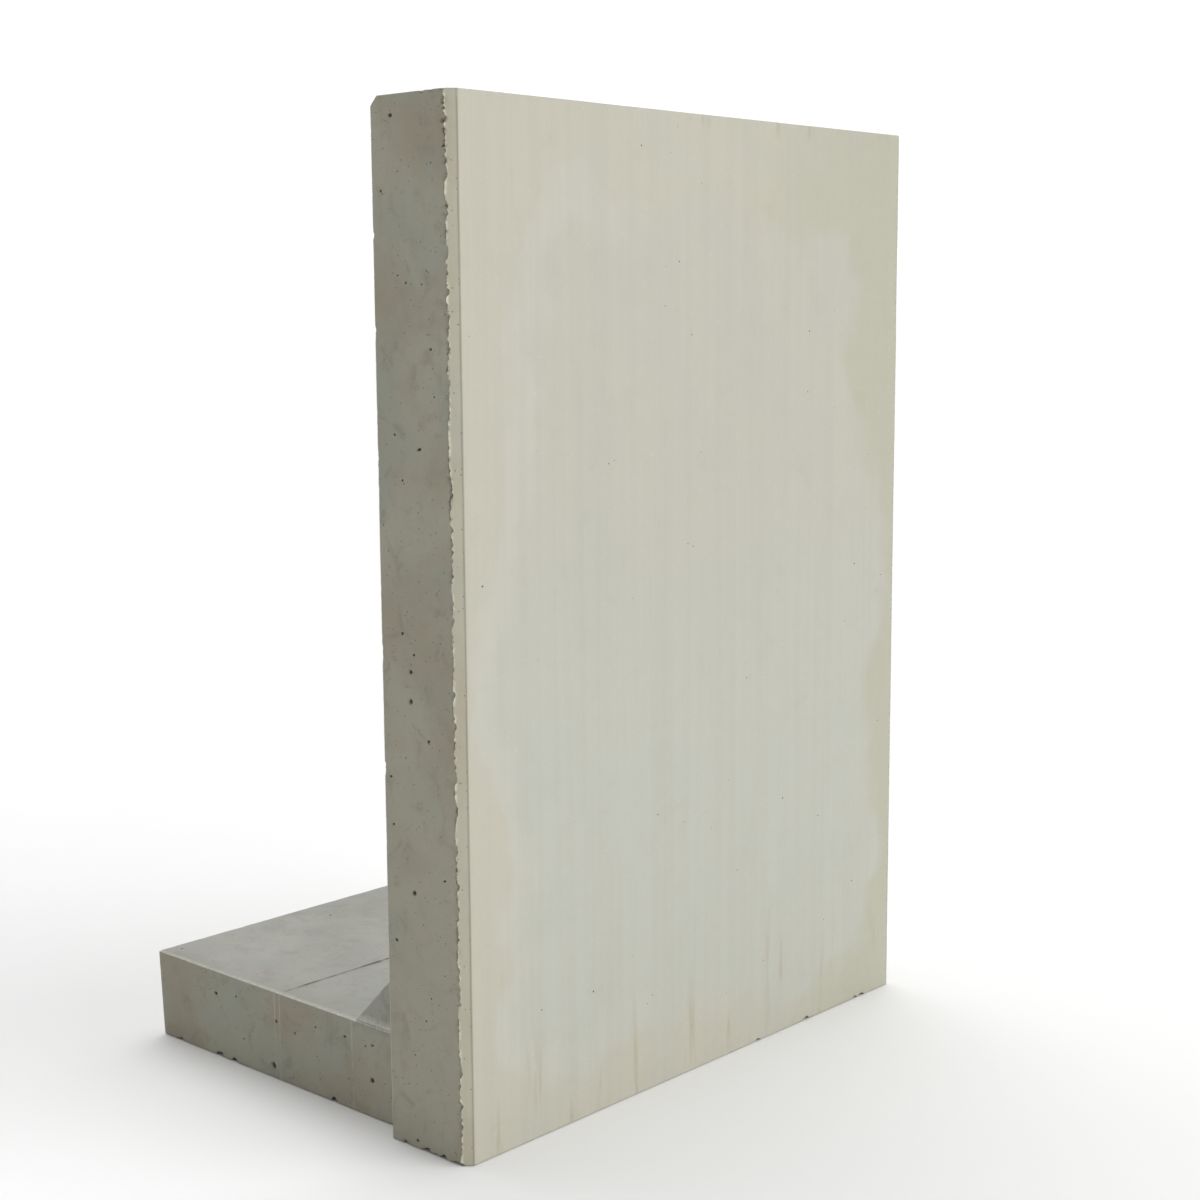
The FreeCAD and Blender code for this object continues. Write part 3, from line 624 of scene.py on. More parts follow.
def worn_edges(points, moved, marks, in_pocket):
    """Rounds the edges, and breaks them by noise and by the listed chips."""
    for index, (name, start, end, fine, wear, inward) in enumerate(EDGES):
        distance, along = from_edge(points, start, end)
        near = np.flatnonzero((distance < EDGE_REACH) & ~in_pocket)
        distance, along = distance[near], along[near]
        line = np.stack([along, np.full(len(near), 0.37 * index), distance], axis=1)
        ragged = noise(line * (1, 1, 0.5), max(8 * MM, 3 * fine), 3 if fine < 5 * MM else 1, shift=0.3)
        gaps = noise(line * (1, 1, 0.2), 38 * MM, 2, shift=5.1)
        splinter = noise(line, max(3.4 * MM, 3 * fine), 2, shift=2.6)
        jagged = 1.8 if name.endswith("_arris") else 1.0
        cut = np.maximum(wear * (0.3 + jagged * ragged + 0.5 * gaps) - 0.8 * distance, 0)
        for chip_edge, place, half, depth in CHIPS:
            if chip_edge == name:
                off = np.abs(along - place) / (half * (1 + 0.35 * ragged))
                size = depth * np.sqrt(np.maximum(1 - off**2, 0)) * (0.9 + 0.7 * ragged + 0.5 * splinter)
                cut = np.maximum(cut, size * 1.25 - 0.85 * distance)
        if wear and "line" not in name:
            cut = np.maximum(cut, 0.6 * MM - 0.7 * distance)
        inward = np.array(inward, float)
        moved[near] += inward / max(np.linalg.norm(inward), 1) * cut[:, None]
        add_mark(marks, "broken", near, smooth_step(cut, 0.7 * MM, 2.0 * MM))
        # Deep chips along the bases are marked to be painted near black: painted shade in their hollows
        if name.endswith("base") and wear:
            add_mark(marks, "pit_shade", near, 0.9 * smooth_step(cut, 1.3 * MM, 2.6 * MM))


def burrs(points, moved, marks):
    """Grout that leaked at the mould's end plates leaves each arris wandering, with thin broken fins."""
    for side, name in ((-1, "left_arris"), (1, "right_arris")):
        start, end = next(edge[1:3] for edge in EDGES if edge[0] == name)
        distance, along = from_edge(points, start, end)
        near = np.flatnonzero(distance < 5 * MM)
        line = np.stack([along[near], np.full(len(near), 3.3), np.zeros(len(near))], axis=1)
        wander = noise(line, 12 * MM, 4, shift=12.0) + 0.5 * noise(line, 4 * MM, 2, shift=3.0)
        wander += 0.4 * noise(line, 60 * MM, 2, shift=6.0)
        slide = np.clip(0.5 + 4.0 * wander, -1.1, 3.0) * MM * np.clip(1.25 - distance[near] / (4 * MM), 0, 1)
        moved[near] += slide[:, None] * np.array((-side * 0.7, -0.7, 0))
        fins = noise(line, 5 * MM, 3, shift=9.0) + 0.5 * noise(line, 30 * MM, 2, shift=2.0)
        rise = 1.6 * MM * np.clip(0.3 + 2.0 * fins, 0, 1) * np.clip(1 - distance[near] / (4 * MM), 0, 1)
        moved[near] += rise[:, None] * np.array((side * 0.2, -0.6, 0))
        add_mark(marks, "fin_and_highlight", near, np.clip(rise / (0.6 * MM), 0, 1))


def worn_shoulders(points, moved, marks):
    """The foot's side edges are worn to a slope along its top, painted pale: a painted highlight where the
    slope catches the light.
    """
    side_off = FOOT_SIDE - np.abs(points[:, 0])
    level = np.abs(points[:, 2] - FOOT_TOP) < SAME_PLACE
    on_top = level & (side_off > -SAME_PLACE) & (points[:, 1] > BACK)
    width = SHOULDER * (1 + 0.7 * noise(points * (1, 1, 0), 70 * MM, 3, shift=8.0))
    share = np.where(on_top, np.clip(1 - side_off / width, 0, 1), 0)
    moved[:, 2] -= 1.8 * MM * share
    # Painted highlight: the worn slope is painted pale through the fin colour
    marks["fin_and_highlight"] = np.maximum(marks["fin_and_highlight"], 0.85 * np.clip(1.8 * share, 0, 1))


def mould_line(points, moved, marks):
    """A fine groove where the edge strip met the face plate."""
    for side in (-1, 1):
        off = side * points[:, 0] - (END - FRONT_CUT)
        near = (np.abs(off) < 6 * MM) & (points[:, 1] < FRONT + 6 * MM)
        wobble = 0.3 * MM * noise(points * (0, 0, 1), 60 * MM, 2, shift=4.0)
        groove = 0.9 * MM * np.clip(1 - np.abs(off - 0.6 * MM + wobble) / (1.4 * MM), 0, 1)
        groove = np.where(near, groove, 0)
        moved[:, 1] += groove
        # The groove mark is used to paint shade into the groove's crease
        marks["groove"] = np.maximum(marks["groove"], groove / (0.9 * MM))


def seams(points, moved, marks):
    """Fine broken ridges that the joints between mould plates leave on the foot's top and sides."""
    on_top = points[:, 2] > FOOT_TOP - SAME_PLACE
    on_side = (np.abs(np.abs(points[:, 0]) - FOOT_SIDE) < SAME_PLACE) & ~on_top
    on_foot = (points[:, 1] > BACK + 5 * MM) & (points[:, 2] < FOOT_TOP + SAME_PLACE) & (points[:, 2] > MM)
    for place, top_height, side_height in SEAMS:
        drift = 2.5 * MM * noise(points * (1, 0, 1), 160 * MM, 2, shift=place * 31)
        off = np.abs(points[:, 1] + drift - place)
        broken = np.clip(0.62 + 0.9 * noise(points * (1, 0, 1), 22 * MM, 2, shift=1.7), 0.15, 1)
        width = SEAM_HALF_WIDTH * np.where(on_top, 0.85 + 0.75 * broken, 0.7)
        ridge = np.where(on_foot, np.clip(1.2 - off / width, 0, 1) * broken, 0)
        ridge *= np.where(on_top, smooth_step(FOOT_SIDE - np.abs(points[:, 0]), 4 * MM, 32 * MM), 0.45)
        moved[:, 2] += np.where(on_top, ridge * top_height, 0)
        moved[:, 0] += np.where(on_side, np.sign(points[:, 0]) * ridge * side_height, 0)
        shown = (on_top & (top_height > 0)) | on_side
        marks["seam"] = np.maximum(marks["seam"], np.where(shown, np.clip(1.5 * ridge, 0, 1), 0))


def haunch_fillet(points, moved, marks):
    """A rough sloping bead where each end of the haunch meets the ledge on the foot's top."""
    for side in (-1, 1):
        start = (side * HAUNCH_SIDE, BACK, FOOT_TOP)
        end = (side * HAUNCH_SIDE, HAUNCH_END - 6 * MM, FOOT_TOP)
        distance, _ = from_edge(points, start, end)
        near = np.flatnonzero(distance < FILLET)
        rough = noise(points[near], 7 * MM, 3, shift=6.0)
        share = np.clip(1.1 - distance[near] / FILLET + 0.35 * rough, 0, 1)
        ledge = points[near, 2] < FOOT_TOP + SAME_PLACE
        fall = np.clip(1.2 - distance[near] / (4 * MM), 0, 1)
        moved[near, 2] += np.where(ledge, 2.2 * MM * share * fall, 0)
        moved[near, 0] += side * np.where(ledge, 0, 3.0 * MM * share)
        # Painted highlight: the bead is painted pale, as the light catching its top would show it
        add_mark(marks, "fin_and_highlight", near, np.clip(1.3 * share, 0, 0.85))


def air_holes(points, moved, marks, grid):
    """Round and oval craters that air bubbles left against the mould."""
    which = grid.at(points)
    near = np.flatnonzero(which >= 0)
    which = which[near]
    off = points[near] - grid.centres[which]
    axis, _, sign, _, _, long, short, tilt, depth = (np.array(column)[which] for column in zip(*HOLES))
    flat = np.abs(np.take_along_axis(off, axis[:, None], axis=1)[:, 0]) < 0.2 * MM
    first = np.where(axis == 0, off[:, 1], off[:, 0])
    second = np.where(axis == 2, off[:, 1], off[:, 2])
    u = (first * np.cos(tilt) + second * np.sin(tilt)) / long
    v = (second * np.cos(tilt) - first * np.sin(tilt)) / short
    lumpy = 0.25 * noise(points[near], 3 * MM, 2, shift=1.1)
    inside = np.where(flat, np.clip(1 - (u**2 + v**2) * (1 + lumpy), 0, 1), 0)
    moved[near, axis] -= sign * depth * np.sqrt(inside)
    # The mark paints each hole's inside near black: painted shade
    add_mark(marks, "pit_shade", near, np.sqrt(inside))


def casting_skin():
    """The casting's surface, finely divided where it is worn, as one closed mesh."""
    shell = plain_casting()
    points, triangles = np.array(shell.corners, float), np.array(shell.triangles)
    names = sorted(set(shell.faces))
    faces = np.array([names.index(face) for face in shell.faces])
    grid = HoleGrid()
    points, triangles, faces = divide(points, triangles, faces, Sizes(grid))
    normals = corner_normals(points, triangles)
    count = len(points)
    marks = {name: np.zeros(count) for name in ("pit_shade", "broken", "fin_and_highlight", "groove", "seam")}
    in_pocket = np.zeros(count, bool)
    for kind in ("pocket", "recess"):
        in_pocket[np.unique(triangles[faces == names.index(kind)])] = True
    moved = np.zeros_like(points)
    inset = np.where(np.abs(np.abs(points[:, 0]) - END) < 0.01 * MM, END_INSET, SKIN_INSET)
    sway = 0.35 * MM * noise(points, 260 * MM, 2, shift=11.0)
    fine = 0.12 * MM * noise(points, 9 * MM, 2, shift=3.0)
    level = inset + np.maximum(sway, -0.25 * MM) + np.maximum(fine, -0.1 * MM)
    moved -= normals * np.where(in_pocket, 0.05 * MM, level)[:, None]
    worn_edges(points, moved, marks, in_pocket)
    mould_line(points, moved, marks)
    burrs(points, moved, marks)
    worn_shoulders(points, moved, marks)
    haunch_fillet(points, moved, marks)
    seams(points, moved, marks)
    air_holes(points, moved, marks, grid)
    towards_end = np.clip(1 - (FOOT_END - points[:, 1]) / DRAFT_SPREAD, 0, 1)
    moved[:, 1] -= FOOT_DRAFT * towards_end * np.clip(1 - points[:, 2] / FOOT_TOP, 0, 1)
    places = np.clip(points + moved, np.array(CASTING_LOW), np.array(CASTING_HIGH))
    return places, triangles, faces, names, marks


def build_mesh(name, places, triangles, marks):
    mesh = bpy.data.meshes.new(name)
    mesh.vertices.add(len(places))
    mesh.vertices.foreach_set("co", places.astype(np.float32).ravel())
    mesh.loops.add(3 * len(triangles))
    mesh.loops.foreach_set("vertex_index", triangles.astype(np.int32).ravel())
    mesh.polygons.add(len(triangles))
    mesh.polygons.foreach_set("loop_start", np.arange(len(triangles), dtype=np.int32) * 3)
    for label, values in marks.items():
        mesh.attributes.new(label, "FLOAT", "POINT").data.foreach_set("value", values.astype(np.float32))
    mesh.update(calc_edges=True)
    mesh.validate()
    made = bpy.data.objects.new(name, mesh)
    bpy.context.scene.collection.objects.link(made)
    return made


# ---------------------------------------------------------------- materials

class Tree:
    """Short calls for the nodes of a material or of the world."""

    def __init__(self, tree):
        self.tree = tree

    def add(self, kind, **settings):
        node = self.tree.nodes.new(kind)
        for name, value in settings.items():
            setattr(node, name, value)
        return node

    def join(self, source, target):
        if isinstance(source, bpy.types.NodeSocket):
            self.tree.links.new(source, target)
        else:
            target.default_value = source

    def join_all(self, node, **sources):
        for name, source in sources.items():
            self.join(source, node.inputs[name.replace("_", " ")])

    def step(self, value, low, high, start=0.0, end=1.0):
        node = self.add("ShaderNodeMapRange", interpolation_type="SMOOTHSTEP")
        self.join_all(node, Value=value, From_Min=low, From_Max=high, To_Min=start, To_Max=end)
        return node.outputs["Result"]

    def math(self, operation, first, second=0.0):
        node = self.add("ShaderNodeMath", operation=operation)
        self.join(first, node.inputs[0])
        self.join(second, node.inputs[1])
        return node.outputs[0]

    def times(self, first, second):
        return self.math("MULTIPLY", first, second)

    def plus(self, first, second):
        return self.math("ADD", first, second)

    def minus(self, first, second):
        return self.math("SUBTRACT", first, second)


class Nodes(Tree):
    """A material's node tree, with short calls for the nodes used here."""

    def __init__(self, name):
        self.material = bpy.data.materials.new(name)
        self.material.use_nodes = True
        super().__init__(self.material.node_tree)
        self.tree.nodes.clear()
        self.shader = self.add("ShaderNodeBsdfPrincipled")
        output = self.add("ShaderNodeOutputMaterial")
        self.join(self.shader.outputs["BSDF"], output.inputs["Surface"])
        self.place = self.add("ShaderNodeTexCoord").outputs["Object"]

    def stretched(self, scale, shift=(0, 0, 0)):
        node = self.add("ShaderNodeMapping")
        self.join_all(node, Vector=self.place, Scale=scale, Location=shift)
        return node.outputs["Vector"]

    def noise(self, scale, detail=2.0, roughness=0.5, stretch=(1, 1, 1), shift=(0, 0, 0), warp=0.0):
        node = self.add("ShaderNodeTexNoise")
        vector = self.stretched(stretch, shift)
        self.join_all(node, Vector=vector, Scale=scale, Detail=detail, Roughness=roughness, Distortion=warp)
        return node.outputs["Fac"]

    def cells(self, scale, shift=(0, 0, 0), output="Distance"):
        node = self.add("ShaderNodeTexVoronoi")
        self.join_all(node, Vector=self.stretched((1, 1, 1), shift), Scale=scale)
        return node.outputs[output]

    def mix(self, share, first, second):
        node = self.add("ShaderNodeMix", data_type="RGBA")
        self.join(share, node.inputs["Factor"])
        for socket, value in ((node.inputs[6], first), (node.inputs[7], second)):
            self.join(value if isinstance(value, bpy.types.NodeSocket) else (*value, 1), socket)
        return node.outputs[2]

    def mark(self, name):
        return self.add("ShaderNodeAttribute", attribute_name=name).outputs["Fac"]

    def axes(self):
        node = self.add("ShaderNodeSeparateXYZ")
        self.join(self.place, node.inputs[0])
        return node.outputs

    def bump(self, height, distance, strength=1.0, below=None):
        node = self.add("ShaderNodeBump")
        self.join_all(node, Height=height, Distance=distance, Strength=strength)
        if below is not None:
            self.join(below, node.inputs["Normal"])
        return node.outputs["Normal"]

    def finish(self, colour, roughness, normal=None, metallic=0.0, specular=0.3):
        self.join_all(self.shader, Base_Color=colour, Roughness=roughness, Metallic=metallic)
        self.join_all(self.shader, Specular_IOR_Level=specular)
        if normal is not None:
            self.join(normal, self.shader.inputs["Normal"])
        return self.material


def face_plate_tones(n):
    """The front's broad tones: a pale panel with rounded corners inside a warmer, wavy border."""
    x, _, z = n.axes()
    sway = n.times(n.minus(n.noise(4.2, 3, 0.55, shift=(1.3, 0, 2.1)), 0.5), 0.30)
    low_part = n.step(z, 0.95, 0.60, 0, 0.05)
    across = n.minus(n.math("ABSOLUTE", x), n.plus(PANEL_HALF - PANEL_CORNER, low_part))
    along = n.minus(n.math("ABSOLUTE", n.minus(z, PANEL_MIDDLE)), PANEL_RISE - PANEL_CORNER)
    across, along = (n.math("POWER", n.math("MAXIMUM", value, 0), 2) for value in (across, along))
    beyond = n.minus(n.math("SQRT", n.plus(across, along)), PANEL_CORNER)
    beyond = n.plus(beyond, sway)
    inner = n.mix(n.step(n.plus(z, sway), 0.95, 0.45), PANEL_HIGH, PANEL_LOW)
    border = n.mix(n.step(n.plus(x, sway), 0.05, 0.40), BORDER_LEFT, BORDER_RIGHT)
    colour = n.mix(n.step(beyond, -0.030, 0.024), inner, border)
    rim = n.times(n.step(beyond, -0.075, -0.03), n.step(beyond, 0.012, -0.014))
    rim = n.times(rim, n.step(x, 0.0, -0.30, 0.05, 0.65))
    colour = n.mix(rim, colour, PANEL_RIM)
    runs = n.step(n.noise(1, 4, 0.6, stretch=(36, 36, 4), shift=(2, 2, 6)), 0.56, 0.70)
    low_runs = n.times(runs, n.step(n.plus(z, sway), 0.19, 0.04, 0, 0.55))
    high_runs = n.times(runs, n.step(z, TOP - 0.028, TOP - 0.006, 0, 0.5))
    high_runs = n.times(high_runs, n.step(x, -0.40, -0.10, 0.2, 1))
    return n.mix(n.math("MAXIMUM", low_runs, high_runs), colour, RUN_STAIN)


def shade(colour, *shares):
    """A colour made darker or paler by each share in turn."""
    for share in shares:
        colour = [c * share for c in colour]
    return [min(1, c) for c in colour]


def concrete(
    name, pale, warm, cool, mottle, grain, tones=None, streaks=0.0, stain=0.0,
    break_tone=1.0, fin_tone=1.0, seam=None,
):
    """Cast concrete: cloudy tone, faint streaks down the mould, pinholes, specks and fine grain, with painted
    shade darkening its pinholes, air holes, deep chips and mould groove.

    pale, warm and cool are its colours, and mottle, grain, streaks and stain the strength of each pattern.
    tones makes a broad pattern instead of plain clouds. break_tone and fin_tone are how light its broken
    edges and its fins of grout are, and seam is the colour of the lines between mould plates. A break_tone
    below 1 paints shade into the notches of broken edges, and the fin colour also paints the highlight on the
    foot's worn shoulders and the haunch's bead.
    """
    n = Nodes(name)
    clouds = n.step(n.noise(5.5, 4, 0.55, warp=0.4), 0.36, 0.66)
    colour = tones(n) if tones else n.mix(clouds, pale, warm)
    drift = n.step(n.noise(9, 3, 0.5, shift=(3, 1, 7)), 0.45, 0.68, 0, 0.22 if tones else 0.75)
    colour = n.mix(drift, colour, cool)
    if streaks:
        lines = n.noise(1, 5, 0.6, stretch=(62, 62, 1.3))
        colour = n.mix(n.step(lines, 0.35, 0.68, 0, streaks), colour, shade(pale, 0.90))
    blotches = n.noise(26, 5, 0.62, shift=(5, 2, 1), warp=0.6)
    colour = n.mix(n.step(blotches, 0.50, 0.74, 0, mottle), colour, shade(warm, 0.62))
    ruddy = n.step(n.noise(19, 3, 0.6, shift=(6, 3, 8), warp=0.4), 0.58, 0.72, 0, 0.55 * mottle)
    colour = n.mix(ruddy, colour, (pale[0] * 1.02, pale[1] * 0.86, pale[2] * 0.84))
    flecks = n.noise(150, 3, 0.7, shift=(2, 9, 4))
    colour = n.mix(n.step(flecks, 0.58, 0.75, 0, 0.6 * mottle + 0.05), colour, shade(cool, 0.7))
    specks = n.step(n.noise(210, 2, 0.5, shift=(8, 3, 5)), 0.64, 0.76, 0, 0.22)
    colour = n.mix(specks, colour, shade(pale, 1.3))
    if stain:
        brown = n.step(n.noise(13, 4, 0.65, shift=(7, 7, 2), warp=0.8), 0.60, 0.76, 0, stain)
        colour = n.mix(brown, colour, (0.235, 0.185, 0.115))
    # Pinholes: a dent in the bump, and painted shade that darkens each one
    pores = n.cells(210, shift=(1, 4, 2))
    chosen = n.step(n.cells(210, shift=(1, 4, 2), output="Color"), 0.72, 0.76)
    pore = n.times(n.step(pores, 0.24, 0.14), chosen)
    colour = n.mix(n.times(pore, 0.75), colour, shade(warm, 0.30))
    # Broken edges mix pale crumbs with dark ones; the dark ones, and a break_tone below 1, paint the shade in
    # the notches
    rubble = n.step(n.noise(420, 3, 0.6), 0.35, 0.65)
    broken = n.mix(rubble, shade(warm, 0.38, break_tone), shade(pale, 1.05, break_tone))
    colour = n.mix(n.times(n.mark("broken"), 0.9), colour, broken)
    # Fins of grout are paler; the same colour paints the highlight on the foot's worn shoulders and the
    # haunch's bead
    crumbs = n.step(n.noise(150, 5, 0.7, shift=(1, 6, 2), warp=0.5), 0.36, 0.68)
    fins = n.mix(crumbs, shade(pale, 1.14, fin_tone), shade(pale, 1.52, fin_tone))
    colour = n.mix(n.times(n.mark("fin_and_highlight"), 0.85), colour, fins)
    # Painted shade: the mould line's groove is darkened along its depth
    colour = n.mix(n.times(n.mark("groove"), 0.75), colour, shade(warm, 0.45))
    if seam:
        colour = n.mix(n.times(n.mark("seam"), 0.8), colour, seam)
    # Painted shade: air holes and deep base chips are darkened to near black
    colour = n.mix(n.step(n.mark("pit_shade"), 0.1, 0.75, 0, 0.9), colour, (0.035, 0.032, 0.026))
    roughness = n.step(n.noise(40, 3, 0.6, shift=(4, 4, 4)), 0.3, 0.7, 0.72, 0.92)
    height = n.plus(n.times(n.noise(900, 3, 0.65), grain), n.times(pore, -2.2))
    rough_break = n.times(n.times(n.noise(520, 4, 0.7), n.mark("broken")), 5.0)
    height = n.plus(height, rough_break)
    normal = n.bump(n.noise(95, 3, 0.55, shift=(2, 2, 9)), 0.35 * MM, 0.6)
    normal = n.bump(height, 0.22 * MM, 0.9, normal)
    return n.finish(colour, roughness, normal)


def steel_bar():
    """Hot-rolled bar: blue-grey mill scale, light rust and the rolled ribs."""
    n = Nodes("rolled_steel")
    rust = n.step(n.noise(60, 5, 0.65, warp=0.5), 0.42, 0.66)
    colour = n.mix(rust, (0.075, 0.072, 0.072), (0.21, 0.085, 0.035))
    colour = n.mix(n.step(n.noise(420, 3, 0.6), 0.55, 0.72, 0, 0.7), colour, (0.30, 0.14, 0.06))
    roughness = n.step(rust, 0, 1, 0.42, 0.86)
    ribs = n.add("ShaderNodeTexWave", wave_type="BANDS", bands_direction="DIAGONAL")
    n.join_all(ribs, Vector=n.place, Scale=75, Distortion=0.4)
    normal = n.bump(ribs.outputs["Fac"], 0.6 * MM, 0.8)
    normal = n.bump(n.noise(600, 3, 0.6), 0.1 * MM, 0.7, normal)
    return n.finish(colour, roughness, normal, metallic=0.7, specular=0.5)


def wire():
    """Black annealed wire with a few rust spots."""
    n = Nodes("annealed_wire")
    colour = n.mix(n.step(n.noise(220, 3, 0.6), 0.5, 0.7), (0.045, 0.043, 0.042), (0.16, 0.075, 0.035))
    roughness = n.step(n.noise(330, 2, 0.5), 0.3, 0.7, 0.45, 0.75)
    normal = n.bump(n.noise(900, 2, 0.5), 0.05 * MM, 0.6)
    return n.finish(colour, roughness, normal, metallic=0.8, specular=0.5)


def plastic():
    """Grey moulded plastic with a fine eroded grain."""
    n = Nodes("spacer_plastic")
    colour = n.mix(n.step(n.noise(35, 3, 0.6), 0.35, 0.68), (0.165, 0.170, 0.175), (0.215, 0.215, 0.210))
    colour = n.mix(n.step(n.noise(480, 2, 0.6), 0.62, 0.74, 0, 0.5), colour, (0.42, 0.41, 0.38))
    roughness = n.step(n.noise(120, 3, 0.6), 0.3, 0.7, 0.46, 0.66)
    return n.finish(colour, roughness, n.bump(n.cells(1500), 0.04 * MM, 0.6), specular=0.45)


def zinc():
    """Zinc plate: faint spangle, turning marks and dull patches of cement."""
    n = Nodes("zinc_plate")
    spangle = n.cells(420, output="Color")
    colour = n.mix(n.step(spangle, 0.1, 0.9), (0.46, 0.465, 0.46), (0.60, 0.60, 0.575))
    cement = n.step(n.noise(90, 4, 0.65, shift=(3, 1, 2)), 0.53, 0.64)
    colour = n.mix(cement, colour, (0.42, 0.405, 0.355))
    roughness = n.mix(cement, (0.34, 0.34, 0.34), (0.82, 0.82, 0.82))
    rings = n.noise(1, 2, 0.5, stretch=(120, 120, 2600))
    return n.finish(colour, roughness, n.bump(rings, 0.05 * MM, 0.5), metallic=0.85, specular=0.5)


def floor_material():
    n = Nodes("studio_floor")
    colour = n.mix(n.step(n.noise(1.5, 3, 0.5), 0.3, 0.7), (0.93, 0.93, 0.93), (0.94, 0.94, 0.94))
    return n.finish(colour, 0.9, specular=0.1)


# ---------------------------------------------------------------- the scene

PALE, WARM, COOL = (0.515, 0.506, 0.440), (0.488, 0.460, 0.391), (0.478, 0.492, 0.430)
PANEL_HALF, PANEL_RISE, PANEL_MIDDLE, PANEL_CORNER = 0.400, 0.610, 0.685, 0.150
PANEL_HIGH, PANEL_LOW = (0.517, 0.500, 0.432), (0.514, 0.518, 0.456)
PANEL_RIM = (0.555, 0.543, 0.470)
BORDER_LEFT, BORDER_RIGHT = (0.530, 0.510, 0.425), (0.482, 0.472, 0.375)
STRIP_PALE, STRIP_WARM, STRIP_COOL = (0.51, 0.49, 0.39), (0.475, 0.445, 0.34), (0.48, 0.48, 0.40)
# The side and haunch end colours are darker than the front's: painted shade of faces turned away from the
# light
SHADED_SIDE_PALE, SHADED_SIDE_WARM, SHADED_SIDE_COOL = (0.338, 0.328, 0.260), (0.296, 0.272, 0.210), (0.298, 0.308, 0.256)
SHADED_CHEEK_PALE, SHADED_CHEEK_WARM, SHADED_CHEEK_COOL = (0.322, 0.322, 0.280), (0.272, 0.268, 0.230), (0.290, 0.300, 0.266)
REAR_WARM, REAR_COOL = (0.450, 0.430, 0.362), (0.445, 0.455, 0.400)
TOP_PALE, TOP_WARM, TOP_COOL = (0.440, 0.436, 0.400), (0.378, 0.370, 0.334), (0.400, 0.410, 0.380)
RUN_STAIN = (0.340, 0.305, 0.195)
DARK_SEAM, PALE_SEAM = (0.075, 0.070, 0.056), (0.50, 0.47, 0.38)
MORTAR_PALE, MORTAR_WARM, MORTAR_COOL = (0.42, 0.41, 0.38), (0.36, 0.35, 0.31), (0.38, 0.39, 0.37)


def concrete_materials():
    """One concrete for each kind of face, since each met its mould, or the air, in its own way; the side and
    haunch end concretes are also darker than the front, which paints the shade of faces turned away from the
    light.
    """
    front = concrete(
        "concrete_front", PALE, WARM, COOL, 0.05, 0.35, tones=face_plate_tones, streaks=0.30, stain=0.06
    )
    strip = concrete(
        "concrete_strip", STRIP_PALE, STRIP_WARM, STRIP_COOL, 0.12, 0.6, streaks=0.2, break_tone=1.7
    )
    # break_tone 0.7 darkens the side's broken edges: painted shade in their notches
    side = concrete(
        "concrete_side_shaded", SHADED_SIDE_PALE, SHADED_SIDE_WARM, SHADED_SIDE_COOL, 0.42, 1.0,
        stain=0.16, break_tone=0.7, fin_tone=0.62, seam=PALE_SEAM,
    )
    # fin_tone 1.25 makes the painted highlight on the haunch's bead paler still
    cheek = concrete("concrete_cheek_shaded", SHADED_CHEEK_PALE, SHADED_CHEEK_WARM, SHADED_CHEEK_COOL, 0.4, 1.0, fin_tone=1.25)
    upper = concrete("concrete_upper", TOP_PALE, TOP_WARM, TOP_COOL, 0.24, 0.8, seam=DARK_SEAM)
    rear = concrete("concrete_rear", PALE, REAR_WARM, REAR_COOL, 0.20, 0.9, streaks=0.25, stain=0.06)
    by_face = {"front": front, "strip": strip, "haunch_end": cheek, "back": rear, "foot_end": rear}
    by_face.update({name: side for name in ("end", "foot_side", "bottom", "pocket")})
    by_face.update({name: upper for name in ("foot_top", "haunch", "top", "recess")})
    return by_face


def add_casting():
    places, triangles, faces, names, marks = casting_skin()
    skin = build_mesh("concrete_skin", places, triangles, marks)
    by_face = concrete_materials()
    chosen = [by_face[name] for name in ("front", "strip", "top", "back", "end", "haunch_end")]
    for material in chosen:
        skin.data.materials.append(material)
    number = np.array([chosen.index(by_face[name]) for name in names], np.int32)
    skin.data.polygons.foreach_set("material_index", number[faces])
    skin.data.shade_smooth()
    skin.data.set_sharp_from_angle(angle=math.radians(38))
    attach(skin, "root")
    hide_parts("concrete_casting")
    return skin


def finish_nodes():
    """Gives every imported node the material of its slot."""
    mortar = concrete("spacer_mortar", MORTAR_PALE, MORTAR_WARM, MORTAR_COOL, 0.3, 1.0)
    by_slot = {
        "concrete": mortar, "spacer_mortar": mortar, "bar_steel": steel_bar(), "tie_wire": wire(),
        "spacer_plastic": plastic(), "socket_steel": zinc(),
    }
    for part in frame["record"]["subparts"]:
        materials = frame["nodes"][part["node"]].data.materials
        if not materials:
            materials.append(None)
        for index in range(len(materials)):
            materials[index] = by_slot[part["material_slot"]]


FLOOR_HALF = 400.0
FLOOR_LEVEL = -0.3 * MM


def add_floor():
    mesh = bpy.data.meshes.new("floor")
    corners = [(x * FLOOR_HALF, y * FLOOR_HALF, FLOOR_LEVEL) for x, y in ((-1, -1), (1, -1), (1, 1), (-1, 1))]
    mesh.from_pydata(corners, [], [(0, 1, 2, 3)])
    mesh.materials.append(floor_material())
    floor = bpy.data.objects.new("floor", mesh)
    bpy.context.scene.collection.objects.link(floor)


# The world is brightest the way that the camera looks, and dimmer behind it
BACKDROP_WAY = (0.72, 0.64, -0.26)
BRIGHT_SIDE, DIM_SIDE = 1.06, 0.26
# (name, the way towards it, power, width as an angle)
LIGHTS = [
    ("key", (0.45, -1.0, 0.70), 1.42, 50),
    ("over_foot", (0.20, 0.30, 1.0), 1.2, 60),
]

# Solved from the corners in the photograph: place in metres, angles in degrees, lens in millimetres
CAMERA_PLACE = (-2.2083, -2.1800, 1.1223)
CAMERA_YAW = 47.4934
CAMERA_PITCH = -8.2261
CAMERA_ROLL = -0.3603
CAMERA_LENS = 59.309
SENSOR_WIDTH = 36.0


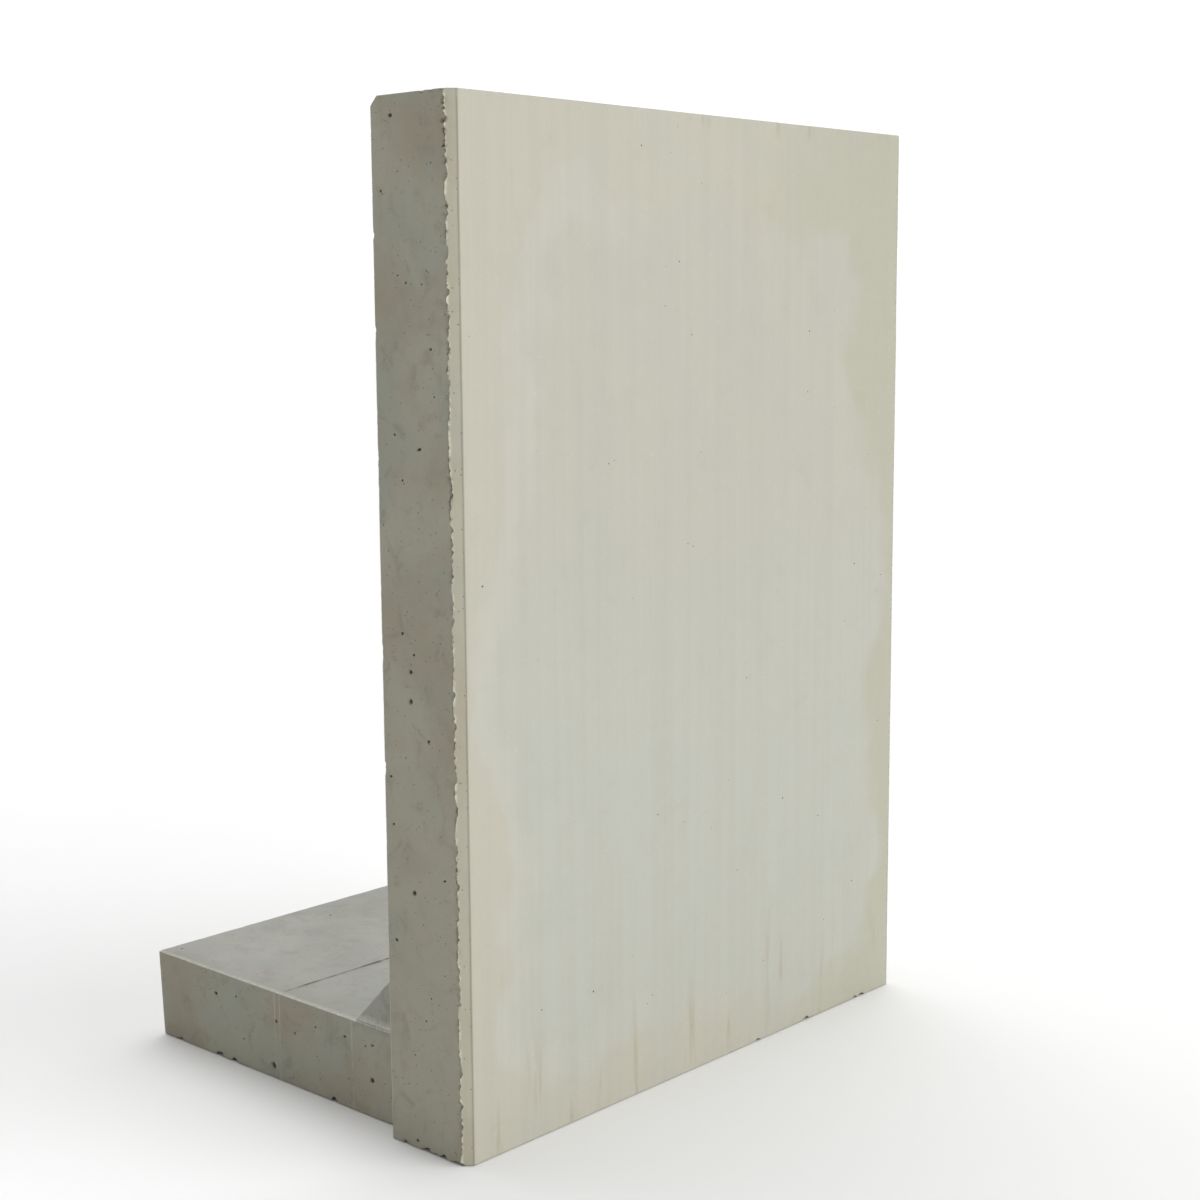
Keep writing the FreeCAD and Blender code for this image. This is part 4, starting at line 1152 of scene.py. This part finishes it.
def add_camera():
    data = bpy.data.cameras.new("camera")
    data.lens, data.sensor_width = CAMERA_LENS, SENSOR_WIDTH
    camera = bpy.data.objects.new("camera", data)
    bpy.context.scene.collection.objects.link(camera)
    upright = Matrix.Rotation(math.radians(90), 4, "X")
    yaw = Matrix.Rotation(math.radians(-CAMERA_YAW), 4, "Z")
    pitch = Matrix.Rotation(math.radians(CAMERA_PITCH), 4, "X")
    roll = Matrix.Rotation(math.radians(CAMERA_ROLL), 4, "Z")
    camera.matrix_world = Matrix.Translation(CAMERA_PLACE) @ yaw @ pitch @ upright @ roll
    bpy.context.scene.camera = camera


def add_soft_light(name, source, power, spread):
    """A distant, very wide light. source is the way towards it, and spread its width as an angle."""
    data = bpy.data.lights.new(name, "SUN")
    data.energy, data.angle = power, math.radians(spread)
    light = bpy.data.objects.new(name, data)
    light.rotation_euler = (-Vector(source)).to_track_quat("-Z", "Y").to_euler()
    bpy.context.scene.collection.objects.link(light)


def add_light():
    """A studio that is white low down and behind the unit, and dimmer above and before it."""
    world = bpy.data.worlds.new("studio")
    world.use_nodes = True
    n = Tree(world.node_tree)
    surround = world.node_tree.nodes["Background"]
    surround.inputs["Color"].default_value = (1.0, 1.0, 1.0, 1)
    way = n.add("ShaderNodeTexCoord").outputs["Generated"]
    ahead, split = n.add("ShaderNodeVectorMath", operation="DOT_PRODUCT"), n.add("ShaderNodeSeparateXYZ")
    ahead.inputs[1].default_value = BACKDROP_WAY
    n.join(way, ahead.inputs[0])
    n.join(way, split.inputs[0])
    backdrop = n.step(ahead.outputs["Value"], -0.3, 0.75, DIM_SIDE, BRIGHT_SIDE)
    low_band = n.step(split.outputs["Z"], 0.12, 0.34, BRIGHT_SIDE, 0)
    n.join(n.math("MAXIMUM", backdrop, low_band), surround.inputs["Strength"])
    bpy.context.scene.world = world
    for name, source, power, spread in LIGHTS:
        add_soft_light(name, source, power, spread)


bpy.context.scene.view_settings.view_transform = "Standard"
add_casting()
finish_nodes()
add_floor()
add_camera()
add_light()
